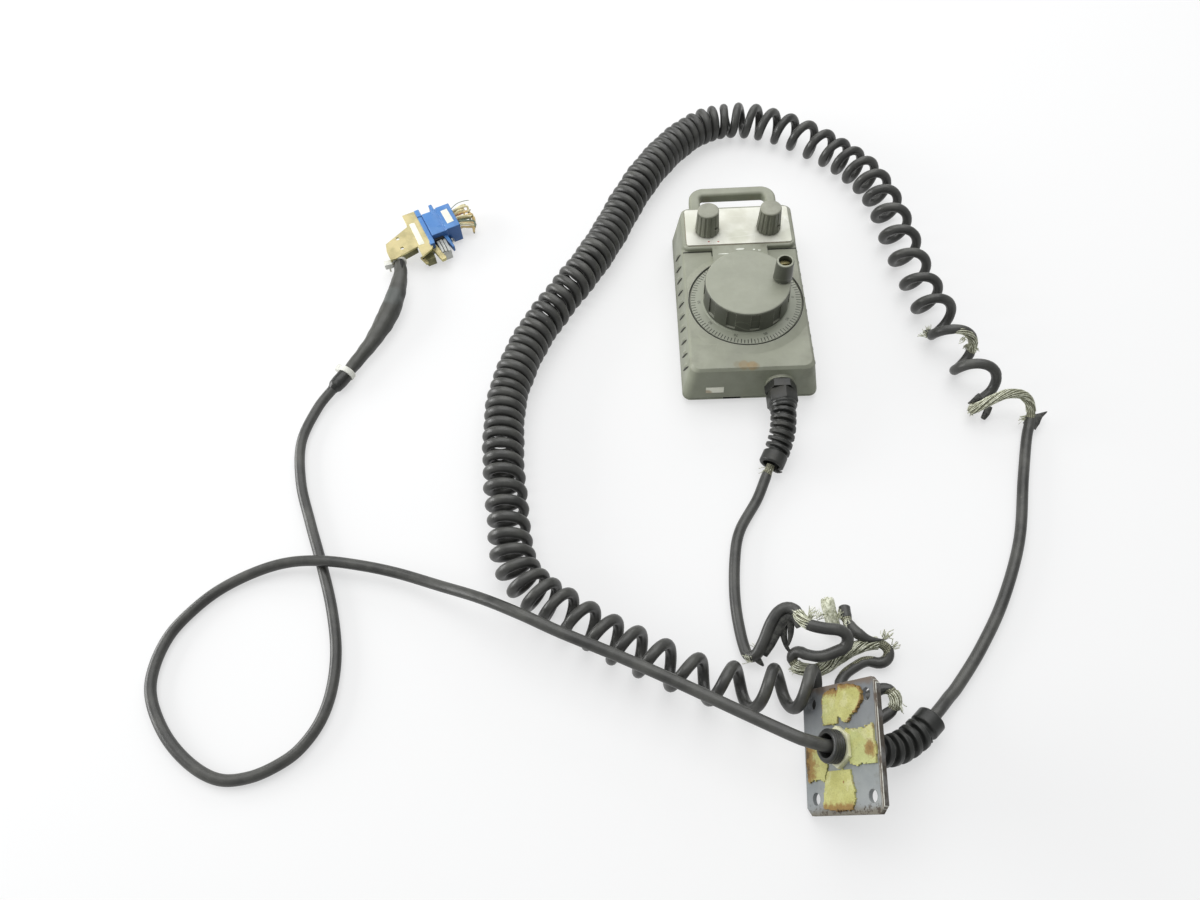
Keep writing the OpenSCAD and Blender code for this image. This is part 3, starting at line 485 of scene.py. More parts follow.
class Shader:
    """A Principled material whose nodes are added one call at a time."""

    def __init__(self, name, metal=0.0):
        self.material = bpy.data.materials.new(name)
        self.material.use_nodes = True
        self.tree = self.material.node_tree
        self.surface = self.tree.nodes["Principled BSDF"]
        self.surface.inputs["Metallic"].default_value = metal
        self.place = self.add("TexCoord").outputs["Object"]

    def add(self, kind, inputs=None, **settings):
        return add_node(self.tree, kind, inputs, **settings)

    def noise(self, size, detail=2.0, rough=0.5, place=None, stretch=None):
        """Noise whose blotches are about size millimetres."""
        place = place or self.place
        if stretch:
            place = self.add("Mapping", {"Vector": place, "Rotation": stretch[0],
                                         "Scale": stretch[1]}).outputs[0]
        return self.add("TexNoise", {"Vector": place, "Scale": 600 / size, "Detail": detail,
                                     "Roughness": rough}).outputs["Fac"]

    def math(self, operation, *values):
        inputs = {i: v for i, v in enumerate(values)}
        return self.add("Math", inputs, operation=operation).outputs[0]

    def times(self, a, b):
        return self.math("MULTIPLY", a, b)

    def plus(self, a, b):
        return self.math("ADD", a, b)

    def minus(self, a, b):
        return self.math("SUBTRACT", a, b)

    def wander(self, reach, *noise):
        """Noise that swings about zero, as wide as reach in all."""
        return self.times(self.minus(self.noise(*noise), 0.5), reach)

    def up(self):
        """How far a face looks up: 1 on top, 0 on a wall."""
        normal = self.add("NewGeometry").outputs["Normal"]
        return self.add("SeparateXYZ", {0: normal}).outputs[2]

    def rounded(self, radius):
        """The normal as if sharp edges were rounded."""
        return self.add("Bevel", {"Radius": radius * MM}, samples=4).outputs[0]

    def span(self, value, low, high, to_low=0.0, to_high=1.0):
        return self.add("MapRange", {"Value": value, "From Min": low, "From Max": high,
                                     "To Min": to_low, "To Max": to_high},
                        interpolation_type="SMOOTHSTEP").outputs["Result"]

    def mix(self, factor, a, b):
        node = self.add("Mix", data_type="RGBA")
        for index, value in ((0, factor), (6, a), (7, b)):
            if isinstance(value, bpy.types.NodeSocket):
                self.tree.links.new(value, node.inputs[index])
            else:
                node.inputs[index].default_value = value if index == 0 else (*value, 1)
        return node.outputs[2]

    def edges(self, radius=0.5):
        """1 on sharp outer edges, 0 elsewhere."""
        soft = self.rounded(radius)
        hard = self.add("NewGeometry").outputs["Normal"]
        dot = self.add("VectorMath", {0: soft, 1: hard}, operation="DOT_PRODUCT")
        return self.span(dot.outputs["Value"], 0.995, 0.86)

    def bump(self, height, strength, distance, normal=None):
        inputs = {"Height": height, "Strength": strength, "Distance": distance * MM}
        if normal is not None:
            inputs["Normal"] = normal
        return self.add("Bump", inputs).outputs[0]

    def done(self, colour, rough, normal=None):
        self.tree.links.new(colour, self.surface.inputs["Base Color"])
        self.tree.links.new(rough, self.surface.inputs["Roughness"])
        if normal is not None:
            self.tree.links.new(normal, self.surface.inputs["Normal"])
        return self.material


DUST = (0.60, 0.59, 0.50)


def shade(colour, factor):
    return tuple(min(1.0, c * factor) for c in colour)


def surface(name, colour, rough=0.5, metal=0.0, mottle=0.14, mottle_size=18, grain=0.25,
            grain_size=0.5, dust=0.0, dust_colour=DUST, wear=None, edge=0.5, grime=None,
            scratches=0.15, lumps=0.0, stains=(), wall_shade=None):
    """A used surface: mottled colour, settled dust, grime, worn edges, fine grain.

    Grime is (colour, amount).
    Each stain is (centre, reach, colour, amount), fading over its outer half.
    Where a wall share is given, upright faces take that share of the colour: painted shade on the
    walls.
    """
    g = Shader(name, metal)
    big = g.noise(mottle_size, 4, 0.6)
    fine = g.noise(grain_size, 3, 0.6)
    tint = g.mix(g.span(big, 0.3, 0.7), shade(colour, 1 - mottle), shade(colour, 1 + mottle))
    tint = g.mix(g.span(fine, 0.62, 0.75, 0, 0.25), tint, shade(colour, 1.35))
    roughness = g.span(g.noise(mottle_size * 0.6, 3), 0.3, 0.7, rough - 0.09, rough + 0.1)
    up = g.up()
    # Painted shade: upright faces darker than the tops.
    if wall_shade:
        tint = g.mix(g.span(up, 0.75, 0.35), tint, shade(colour, wall_shade))
    if grime:
        where = g.times(g.span(g.noise(mottle_size * 1.7, 5, 0.65), 0.54, 0.7), grime[1])
        tint = g.mix(where, tint, grime[0])
        roughness = g.plus(roughness, g.times(where, 0.25))
    if dust:
        patches = g.span(up, 0.2, 0.95), g.span(g.noise(7, 5, 0.7), 0.35, 0.75, 0.3, dust * 2)
        tint = g.mix(g.times(g.times(*patches), dust * 2), tint, dust_colour)
    for centre, reach, stain, amount in stains:
        far = g.add("VectorMath", {0: g.place, 1: Vector(centre) * MM}, operation="DISTANCE")
        far = g.plus(far.outputs["Value"], g.wander(0.6 * reach * MM, 4, 4, 0.7))
        tint = g.mix(g.span(far, reach * MM, 0.55 * reach * MM, 0, amount), tint, stain)
    line_a = g.noise(9, 0.5, place=g.place, stretch=((0, 0, 0.5), (1, 0.06, 1)))
    line_b = g.noise(12, 0.5, place=g.place, stretch=((0, 0, -0.9), (0.05, 1, 1)))
    near = g.math("MINIMUM", g.math("ABSOLUTE", g.minus(line_a, 0.5)),
                  g.math("ABSOLUTE", g.minus(line_b, 0.47)))
    line = g.times(g.span(near, 0.006, 0.0), g.span(g.noise(14, 2), 0.5, 0.62))
    tint = g.mix(g.times(line, scratches), tint, shade(colour, 1.8))
    soft = g.rounded(edge)
    if wear:
        rub = g.times(g.edges(edge), g.span(g.noise(3.5, 4, 0.7), 0.36, 0.62))
        tint = g.mix(g.times(rub, 0.6), tint, wear)
    height = g.plus(fine, g.times(line, -0.6))
    normal = g.bump(height, grain, 0.12, soft)
    if lumps:
        normal = g.bump(g.noise(mottle_size * 0.35, 2), lumps, 0.8, normal)
    return g.done(tint, roughness, normal)


# The two dark stains at x ±17.3, y 50 darken the inner corners where the neck meets the panel:
# painted shade and dirt.
case_mat = surface("case_plastic", (0.250, 0.264, 0.198), 0.46, mottle=0.10, grain=0.35,
                   grain_size=0.45, dust=0.22, wear=(0.42, 0.43, 0.36), edge=0.9,
                   grime=((0.075, 0.07, 0.05), 0.35),
                   stains=[((-10.5, -55, 34.3), 3.4, (0.22, 0.17, 0.09), 0.35),
                           ((46, 10, 34), 6, (0.16, 0.15, 0.11), 0.35),
                           ((-0.6, -56, 34.3), 4.2, (0.34, 0.20, 0.06), 0.55),
                           ((-6, -55.4, 34.3), 4.4, (0.30, 0.20, 0.08), 0.55),
                           ((2.2, -56.6, 34.3), 3, (0.25, 0.18, 0.08), 0.4),
                           ((-20, 108, 22), 9, (0.19, 0.14, 0.07), 0.35),
                           ((15, 108, 22), 8, (0.19, 0.14, 0.07), 0.25),
                           ((-17.3, 50, 34.3), 4, (0.12, 0.10, 0.06), 0.6),
                           ((17.3, 50, 34.3), 4, (0.12, 0.10, 0.06), 0.6)])
# Painted shade: the wheel's upright rim takes 0.27 of its colour.
wheel_mat = surface("wheel_plastic", (0.262, 0.278, 0.212), 0.38, wall_shade=0.27, mottle=0.06,
                    grain=0.2, grain_size=0.4, dust=0.24, wear=(0.5, 0.5, 0.42), edge=0.7,
                    grime=((0.08, 0.075, 0.05), 0.18))
# Painted shade: the knobs' upright sides take 0.72 of the colour, and the near-black stain fills
# the finger knob's cup.
knob_mat = surface("knob_plastic", (0.225, 0.232, 0.175), 0.38, wall_shade=0.72,
                   stains=[((23.9, 2.1, 68.6), 7.4, (0.012, 0.012, 0.01), 0.97)], mottle=0.08,
                   grain=0.25, grain_size=0.4, dust=0.3, wear=(0.45, 0.45, 0.36), edge=0.5,
                   grime=((0.05, 0.045, 0.03), 0.4))
dial_mat = surface("dial_paint", (0.285, 0.305, 0.235), 0.40, mottle=0.08, grain=0.12,
                   grain_size=0.3, dust=0.2, wear=(0.55, 0.55, 0.48), edge=0.3,
                   grime=((0.16, 0.13, 0.07), 0.3))
# The first two stains darken the plate round the knob feet: dirt and painted shade.
legend_mat = surface("legend_sheet", (0.78, 0.78, 0.70), 0.6, metal=0.25, mottle=0.05, grain=0.08,
                     grain_size=0.25, grime=((0.55, 0.54, 0.42), 0.35), edge=0.3, scratches=0.3,
                     stains=[((-22.7, 67.3, 38.3), 11.5, (0.28, 0.27, 0.20), 0.7),
                             ((22.7, 67.3, 38.3), 11.5, (0.28, 0.27, 0.20), 0.7),
                             ((0, 60, 38.3), 9, (0.62, 0.63, 0.52), 0.5),
                             ((-36, 75, 38.3), 12, (0.60, 0.61, 0.50), 0.5),
                             ((37, 58, 38.3), 10, (0.60, 0.61, 0.50), 0.5)])
rubber_mat = surface("gasket_rubber", (0.028, 0.028, 0.026), 0.65, dust=0.1, grain=0.3, edge=0.3)
black_mat = surface("black_plastic", (0.035, 0.036, 0.033), 0.42, dust=0.08, grain=0.25, edge=0.5,
                    wear=(0.12, 0.12, 0.11))
gland_mat = surface("gland_plastic", (0.017, 0.018, 0.017), 0.36, mottle=0.2, dust=0.035,
                    grain=0.2, edge=0.7, wear=(0.2, 0.2, 0.18), grime=((0.10, 0.09, 0.065), 0.22))
zinc_mat = surface("zinc_screw", (0.60, 0.60, 0.57), 0.34, metal=1.0, grain=0.12, edge=0.25,
                   grime=((0.25, 0.22, 0.16), 0.35))
steel_mat = surface("steel", (0.56, 0.56, 0.55), 0.3, metal=1.0, grain=0.1, edge=0.2,
                    grime=((0.2, 0.18, 0.14), 0.3))
disc_mat = surface("disc_plate", (0.66, 0.66, 0.65), 0.22, metal=1.0, grain=0.05, edge=0.1)
brass_mat = surface("brass", (0.28, 0.25, 0.13), 0.42, metal=1.0, grain=0.15, edge=0.25,
                    grime=((0.08, 0.065, 0.03), 0.7), mottle_size=4)
board_mat = surface("board", (0.04, 0.16, 0.07), 0.35, grain=0.15, edge=0.1,
                    grime=((0.35, 0.3, 0.1), 0.3), mottle_size=4)
label_mat = surface("label_white", (0.86, 0.86, 0.74), 0.45, mottle=0.05, grain=0.12, edge=0.3,
                    grime=((0.5, 0.47, 0.30), 0.5), mottle_size=7,
                    stains=[((-30.5, -62, 11), 4.5, (0.30, 0.20, 0.08), 0.7)])
nut_mat = surface("locknut_plastic", (0.72, 0.71, 0.50), 0.42, mottle=0.12, grain=0.2, edge=0.6,
                  wear=(0.75, 0.74, 0.6), grime=((0.3, 0.25, 0.12), 0.45), mottle_size=8)
tie_mat = surface("tie_white", (0.78, 0.78, 0.72), 0.38, mottle=0.06, grain=0.1, edge=0.3,
                  grime=((0.5, 0.46, 0.32), 0.4), mottle_size=6)
yellow_mat = surface("zinc_yellow", (0.58, 0.53, 0.24), 0.42, metal=0.55, mottle=0.25, grain=0.15,
                     edge=0.5, wear=(0.80, 0.76, 0.52), dust=0.3, dust_colour=(0.62, 0.46, 0.36),
                     grime=((0.34, 0.40, 0.16), 0.8), mottle_size=7)
# Painted shade: the connector's upright walls take 0.72 of the colour.
blue_mat = surface("socket_blue", (0.052, 0.175, 0.50), 0.36, mottle=0.1, grain=0.15, wall_shade=0.72,
                   edge=0.5, wear=(0.16, 0.36, 0.72), dust=0.3, dust_colour=(0.18, 0.42, 0.68),
                   grime=((0.03, 0.07, 0.16), 0.3), mottle_size=9)
lock_mat = surface("lock_metal", (0.50, 0.51, 0.48), 0.5, metal=0.5, mottle=0.1, grain=0.2,
                   edge=0.4, grime=((0.4, 0.38, 0.3), 0.35), mottle_size=7)
# Near-black for slots, holes, slits and gaps: painted shade where only shade would show.
opening_shade_mat = surface("painted_opening_shade", (0.012, 0.012, 0.012), 0.7, grain=0.1, edge=0.1)
shrink_mat = surface("heat_shrink", (0.036, 0.037, 0.034), 0.42, mottle=0.25, dust=0.12, grain=0.3,
                     lumps=0.35, edge=0.6, grime=((0.14, 0.13, 0.1), 0.3),
                     stains=[((-262, 36, 17), 10, (0.13, 0.145, 0.14), 0.5),
                             ((-259, 55, 15), 9, (0.10, 0.10, 0.09), 0.4)])


def cord_material():
    """Black jacket, and where it is worn off, the woven screen under it."""
    g = Shader("lead_black")
    along = g.add("Attribute", attribute_name="along").outputs["Vector"]
    worn = g.add("Attribute", attribute_name="worn").outputs["Fac"]
    xyz = g.add("SeparateXYZ", {0: along})
    s, c, w = xyz.outputs[0], xyz.outputs[1], xyz.outputs[2]
    angle = g.math("ARCTAN2", w, c)
    ragged = g.plus(worn, g.wander(1.1, 3.2, 4))
    bare = g.span(ragged, 0.46, 0.54)
    one = g.math("SINE", g.plus(g.times(angle, 7), g.times(s, 3.0)))
    two = g.math("SINE", g.minus(g.times(angle, 7), g.times(s, 3.0)))
    weave = g.times(one, two)
    braid = g.mix(g.span(weave, -0.8, 0.7), (0.07, 0.065, 0.04), (0.40, 0.40, 0.28))
    braid = g.mix(g.span(g.noise(4, 4, 0.7), 0.5, 0.75), braid, (0.06, 0.05, 0.03))
    big = g.noise(14, 4, 0.6)
    fine = g.noise(0.6, 3, 0.6)
    jacket = g.mix(g.span(big, 0.3, 0.7), (0.031, 0.031, 0.030), (0.056, 0.056, 0.053))
    up = g.up()
    # Upward faces lighter: dust and painted sheen.
    dust_and_sheen = g.times(g.span(up, 0.0, 1.0), g.span(g.noise(9, 4, 0.6), 0.3, 0.8, 0.02, 0.22))
    jacket = g.mix(dust_and_sheen, jacket, (0.30, 0.30, 0.26))
    scuff = g.times(g.span(g.noise(2.4, 4, 0.7), 0.66, 0.74), g.span(g.noise(30, 2), 0.5, 0.62))
    jacket = g.mix(g.times(scuff, 0.35), jacket, (0.3, 0.29, 0.25))
    tint = g.mix(bare, jacket, braid)
    rough = g.mix(bare, (0.36,) * 3, (0.55,) * 3)
    rough = g.plus(rough, g.times(g.minus(big, 0.5), 0.25))
    height = g.plus(g.times(g.times(weave, bare), 1.2),
                    g.plus(g.times(fine, 0.25), g.times(bare, -2.0)))
    return g.done(tint, rough, g.bump(height, 0.6, 0.25))


lead_mat = cord_material()


def strand_material(name, light, dark):
    """Fine wires, running bright and dull along their length; the bright patches are partly bright
    metal and partly painted glints.
    """
    g = Shader(name, metal=0.2)
    patch = g.noise(1.6, 4, 0.7)
    # Bright patches: partly painted glints.
    tint = g.mix(g.span(patch, 0.35, 0.65), dark, light)
    tint = g.mix(g.span(g.noise(6, 3), 0.55, 0.75), tint, shade(dark, 0.6))
    return g.done(tint, g.span(patch, 0.3, 0.7, 0.35, 0.65), g.bump(patch, 0.4, 0.2))


strand_mat = strand_material("braid_strands", (0.88, 0.89, 0.74), (0.42, 0.43, 0.30))
frayed_mat = strand_material("jacket_shreds", (0.10, 0.10, 0.09), (0.03, 0.03, 0.028))


def plate_material():
    """Blue-grey paint with painted shade towards its top, a rusty right edge, bright rubbed lines
    and a dirty foot.
    """
    g = Shader("plate_paint")
    local = g.add("Mapping", {"Vector": g.place}, vector_type="POINT")
    inverse = PLATE.inverted()
    local.inputs["Location"].default_value = [x * MM for x in inverse.translation]
    local.inputs["Rotation"].default_value = inverse.to_euler("XYZ")
    xyz = g.add("SeparateXYZ", {0: local.outputs[0]})
    x, y = xyz.outputs[0], xyz.outputs[1]
    big = g.noise(16, 5, 0.6)
    tint = g.mix(g.span(big, 0.3, 0.7), (0.20, 0.22, 0.225), (0.295, 0.315, 0.305))
    tint = g.mix(g.span(g.noise(0.6, 3), 0.6, 0.75, 0, 0.3), tint, (0.36, 0.38, 0.40))
    stain = g.times(g.span(g.noise(9, 5, 0.7), 0.55, 0.7), 0.4)
    tint = g.mix(stain, tint, (0.12, 0.11, 0.09))
    # Painted shade: the paint darkens towards the plate's top, where the leads lie over it.
    tint = g.mix(g.span(y, 0.026, 0.052, 0, 0.55), tint, (0.125, 0.13, 0.15))
    tint = g.mix(g.span(y, 0.022, 0.006, 0, 0.3), tint, (0.37, 0.38, 0.385))
    shift = g.wander(0.008, 6, 4, 0.7)
    low = g.plus(y, shift)
    tint = g.mix(g.span(low, 0.005, 0.0, 0, 0.85), tint, (0.13, 0.11, 0.07))
    speck = g.times(g.span(g.noise(1.6, 4, 0.7), 0.5, 0.6), g.span(y, 0.007, 0.002))
    tint = g.mix(speck, tint, (0.05, 0.035, 0.02))
    high = g.minus(y, shift)
    tint = g.mix(g.span(high, 0.0625, 0.066, 0, 0.7), tint, (0.14, 0.09, 0.05))
    across = g.plus(x, g.wander(0.0016, 12, 3, 0.6))
    rust = g.span(across, 0.0598, 0.0610)
    tint = g.mix(g.times(rust, 0.9), tint, (0.085, 0.058, 0.035))
    breaks = g.span(g.noise(5, 4, 0.7), 0.36, 0.52)
    inner = g.span(g.math("ABSOLUTE", g.minus(across, 0.0610)), 0.0004, 0.0001)
    outer = g.span(g.math("ABSOLUTE", g.minus(x, 0.0625)), 0.0005, 0.0002)
    line = g.times(g.math("MAXIMUM", g.times(inner, 0.7), outer), breaks)
    rub = g.times(g.edges(0.4), g.span(g.noise(3, 4, 0.7), 0.38, 0.6, 0, 0.5))
    bright = g.math("MAXIMUM", line, rub)
    tint = g.mix(bright, tint, (0.50, 0.50, 0.45))
    side = g.mix(g.span(g.noise(7, 4, 0.7), 0.4, 0.6), (0.16, 0.155, 0.15), (0.07, 0.058, 0.045))
    tint = g.mix(g.span(x, 0.0628, 0.06295), tint, side)
    rough = g.span(g.noise(10, 3), 0.3, 0.7, 0.36, 0.58)
    soft = g.rounded(0.4)
    chips = g.plus(g.noise(0.8, 3), g.times(bright, -0.8))
    return g.done(tint, rough, g.bump(chips, 0.3, 0.2, soft))


PLATE_AT = (6, -337.5, 0.8)
PLATE_TURN = [math.radians(a) for a in (14, -61.5, -16.1)]
PLATE = (Matrix.Translation(PLATE_AT) @ Matrix.Rotation(PLATE_TURN[2], 4, "Z")
         @ Matrix.Rotation(PLATE_TURN[1], 4, "Y") @ Matrix.Rotation(PLATE_TURN[0], 4, "X"))
plate_mat = plate_material()


def foam_material():
    """Perished foam: pale yellow-green, browner where its stain attribute says."""
    g = Shader("foam")
    stain = g.add("Attribute", attribute_name="stain").outputs["Fac"]
    big = g.noise(8, 5, 0.65)
    tint = g.mix(g.span(big, 0.35, 0.65), (0.43, 0.415, 0.135), (0.53, 0.52, 0.21))
    tint = g.mix(g.span(g.noise(14, 4), 0.5, 0.65, 0, 0.5), tint, (0.44, 0.50, 0.24))
    ragged = g.plus(stain, g.wander(1.7, 3, 6, 0.75))
    pale = g.span(g.noise(6, 4, 0.6), 0.56, 0.64, 0, 0.5)
    tint = g.mix(pale, tint, (0.60, 0.585, 0.33))
    tint = g.mix(g.span(ragged, 0.3, 0.75, 0, 0.9), tint, (0.26, 0.14, 0.04))
    tint = g.mix(g.span(ragged, 0.85, 1.15, 0, 0.9), tint, (0.085, 0.05, 0.02))
    pores = g.add("TexVoronoi", {"Vector": g.place, "Scale": 1100}).outputs["Distance"]
    tint = g.mix(g.span(pores, 0.1, 0.5, 0.25, 0), tint, (0.17, 0.13, 0.06))
    height = g.plus(pores, g.times(g.noise(2.5, 4), 1.5))
    return g.done(tint, g.span(big, 0.3, 0.7, 0.75, 0.9), g.bump(height, 0.6, 0.25))


foam_mat = foam_material()

# ---------------------------------------------------------------- cords

LEAD_R = 3.5
PENDANT = [(8, -120, 8.8), (4, -128, 6), (-3, -143, 3.6), (-16, -165, 3.6), (-21, -186, 3.6),
           (-23, -213, 3.6), (-21, -238, 3.6), (-17, -252, 4.5)]
LOOPS = [(-17, -252, 4.5), (-14, -249, 8), (-9.5, -242, 12), (-5, -233, 15.5),
         (0, -226.5, 18.5), (5.5, -224.5, 20.5), (10, -227.5, 22.5), (12, -232.5, 24),
         (16, -237, 25), (24, -239.5, 25), (33, -240.5, 24), (39, -243, 21.5),
         (38.5, -247.5, 18), (31, -250.5, 15.5), (22, -252.5, 13.5), (14, -250, 11),
         (8, -244.5, 7.5), (4.5, -249, 4.5), (9, -255, 3.8), (18, -257.5, 3.8),
         (27, -255.5, 4.2), (34, -251, 5.5), (42, -247, 7.5), (50, -244.5, 9),
         (59, -244, 9), (65, -247.5, 7.5), (66, -253, 5), (60, -255, 3.8), (51, -252.5, 3.8),
         (42, -256.5, 3.8), (36, -261, 4), (33, -267, 4), (37, -273, 4), (47, -274.5, 4),
         (55, -270, 5), (61.5, -268.5, 7), (64, -274, 8), (61, -281, 6), (54, -286, 4.2),
         (44, -290, 3.8), (33, -294, 3.8), (21, -290, 3.6), (17.5, -281, 3.6),
         (18, -273.6, 4.6), (18.6, -266.5, 9.5), (17.4, -262, 15.5)]
COIL = [(0, -271), (-23, -270), (-48, -264), (-74, -252), (-99, -239), (-124, -223),
        (-143, -210), (-156, -195), (-162, -178), (-165, -155), (-169, -126), (-171, -95),
        (-170, -63), (-163, -34), (-152, -6), (-134, 26), (-113, 60), (-97, 91), (-83, 123),
        (-66, 156), (-45, 186), (-22, 208), (0, 217), (25, 216), (53, 203), (77, 184),
        (98, 162), (113, 138), (121, 110), (125, 78), (129, 47), (134, 18), (140, -6),
        (147, -30), (154, -52), (160, -72)]
COIL_Z = 14.6
COIL_R = 11
# Which turn of the coil passes where: (turn, distance along its middle line)
TURNS = [(0, -5.1), (2, 41), (4, 82.6), (6, 116), (8, 147.3), (10, 170.8), (14, 217.6),
         (17, 252.9), (20, 280.6), (26, 328), (33, 383.3), (39, 438.7), (47, 499.5),
         (54, 558.8), (62, 617), (66, 652.7), (68, 678), (70, 707.7), (72, 741.6),
         (75, 784.8), (77, 820.3), (79, 865.7), (81, 913.6), (82, 935.3), (83, 967.5),
         (84, 997.8), (85, 1023.4)]
LAST_ARC = [(156, -71.5, 3.9), (150.5, -77.5, 5), (148.3, -81.5, 9), (150.2, -83.2, 14.5),
            (155.5, -82.5, 19.5), (162.5, -80.5, 22.5), (170.5, -79, 23), (178, -78.5, 20.5),
            (184, -80.5, 15.5), (186.3, -85, 9.5), (184.8, -92.5, 5), (180.5, -104, 3.6),
            (171, -134, 3.6), (158, -177, 3.6), (139, -216, 3.6), (119, -246, 3.6),
            (101, -268, 3.8), (93, -276, 5.5), (86, -283, 8.8), (79.5, -289.2, 9.2),
            (74.5, -293.7, 9.7)]
TAIL = [(-4, -303, 40), (-29, -289, 35), (-61, -272, 32.6), (-94, -256, 32.6),
        (-128, -241, 33.5), (-152, -229, 33), (-178, -215, 25), (-206, -202, 15),
        (-234, -191, 10.5), (-258, -185, 10.5), (-283, -181, 10.6), (-306, -180, 8),
        (-327, -184, 5), (-348, -194, 3.6), (-363, -207, 3.6), (-376, -225, 3.6),
        (-381, -246, 3.6), (-378, -265, 3.6), (-364, -287, 3.6), (-345, -304, 3.6),
        (-326, -313, 3.6), (-308, -312, 3.6), (-292, -305, 3.6), (-281, -296, 3.6),
        (-272, -281, 3.6), (-268, -262, 3.6), (-269, -238, 3.6), (-276, -210, 3.6),
        (-287, -180, 3.6), (-300, -148, 3.6), (-311, -118, 3.6), (-316, -86, 3.6),
        (-309, -58, 4), (-299, -42, 6)]
# Where the jacket is worn through: centre and reach
BARE = [((8, -121, 8.6), 6), ((12.5, -233, 24), 5.5),
        ((9, -255, 3.8), 5), ((18, -257.5, 3.8), 8), ((27, -255.5, 4.2), 8),
        ((34, -251, 5.5), 8), ((42, -247, 7.5), 8), ((50, -244.5, 9), 8), ((58, -244, 9), 7),
        ((63.2, -277, 7), 7), ((148, -29, 24), 4.5), ((152.5, -30, 22), 4.8),
        ((156, -31.5, 18), 5), ((158.5, -32.5, 13), 4), ((130, -16.5, 8), 3),
        ((150, -80, 6), 6), ((149.5, -83, 13), 7), ((156, -82, 20), 8), ((164, -80, 23), 9),
        ((173, -79, 22.5), 9), ((182, -79.5, 18), 8), ((186, -84, 11), 6),
        ((168, -50, 22), 2.2), ((171, -58, 15), 2.6)]


def bare_at(p, middle):
    most = 0
    for centre, reach in BARE:
        if abs(middle.x - centre[0]) < reach + 5 and abs(middle.y - centre[1]) < reach + 5:
            most = max(most, clamp((1.25 - (p - Vector(centre)).length / reach) * 2.5))
    return most


def coil_centre(s):
    """Point and heading of the coil's middle line at distance s."""
    points = [Vector((*p, COIL_Z)) for p in COIL]
    ends = [0.0]
    for a, b in zip(points, points[1:]):
        ends.append(ends[-1] + (b - a).length)
    if s <= 0:
        heading = (points[1] - points[0]).normalized()
        return points[0] + heading * s, heading
    if s >= ends[-1]:
        heading = (points[-1] - points[-2]).normalized()
        return points[-1] + heading * (s - ends[-1]), heading
    i = max(j for j, e in enumerate(ends[:-1]) if e <= s)
    a, b, c, d = around(points, i)
    t = (s - ends[i]) / (ends[i + 1] - ends[i])
    slope = 0.5 * ((c - a) + 2 * (2 * a - 5 * b + 4 * c - d) * t
                   + 3 * (3 * b - a - 3 * c + d) * t * t)
    return cubic(a, b, c, d, t), slope.normalized()


def helix(first, last, per_turn=22):
    """The curly lead's own turns: it winds left-handed as it goes."""
    distance = monotone(TURNS)
    out = []
    n = round((last - first) * per_turn)
    for i in range(n + 1):
        k = first + (last - first) * i / n
        centre, heading = coil_centre(distance(k))
        left = Vector((-heading.y, heading.x, 0)).normalized()
        a = -math.tau * k
        wide = COIL_R + 0.25 * math.sin(1.7 * k) - 0.2
        out.append(centre + wide * (math.cos(a) * left + math.sin(a) * Vector((0, 0, 1))))
    return out


def length_of(path):
    return sum((b - a).length for a, b in zip(path, path[1:])) * MM


def eased(path, least):
    """The path with its sharpest corners drawn in until they turn about this radius."""
    path = [p.copy() for p in path]
    for _ in range(60):
        moved = False
        for i in range(1, len(path) - 1):
            before, after = path[i] - path[i - 1], path[i + 1] - path[i]
            turn = before.angle(after)
            if turn > 0.02 and (before.length + after.length) / 2 / turn < least:
                path[i] += 0.2 * ((path[i - 1] + path[i + 1]) / 2 - path[i])
                moved = True
        if not moved:
            break
    return path


main_path = eased(spline(PENDANT + LOOPS[1:] + helix(-0.42, 84.16, 12) + LAST_ARC, 2), 6)
main_cord = tube("curly_cord", main_path, LEAD_R, lead_mat, sides=14, bare=bare_at)
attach(main_cord, "case")
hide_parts("pendant_lead", "worn_loops", "curly_lead", "plate_lead")

# The bared screen: whole strands, frayed ends, a stub of screen, and what is left of the jacket


def stretch(first, last, after=0):
    """The part of the main cord between the places nearest two points."""
    start = nearest(main_path, first, after)
    return main_path[start:nearest(main_path, last, start)]


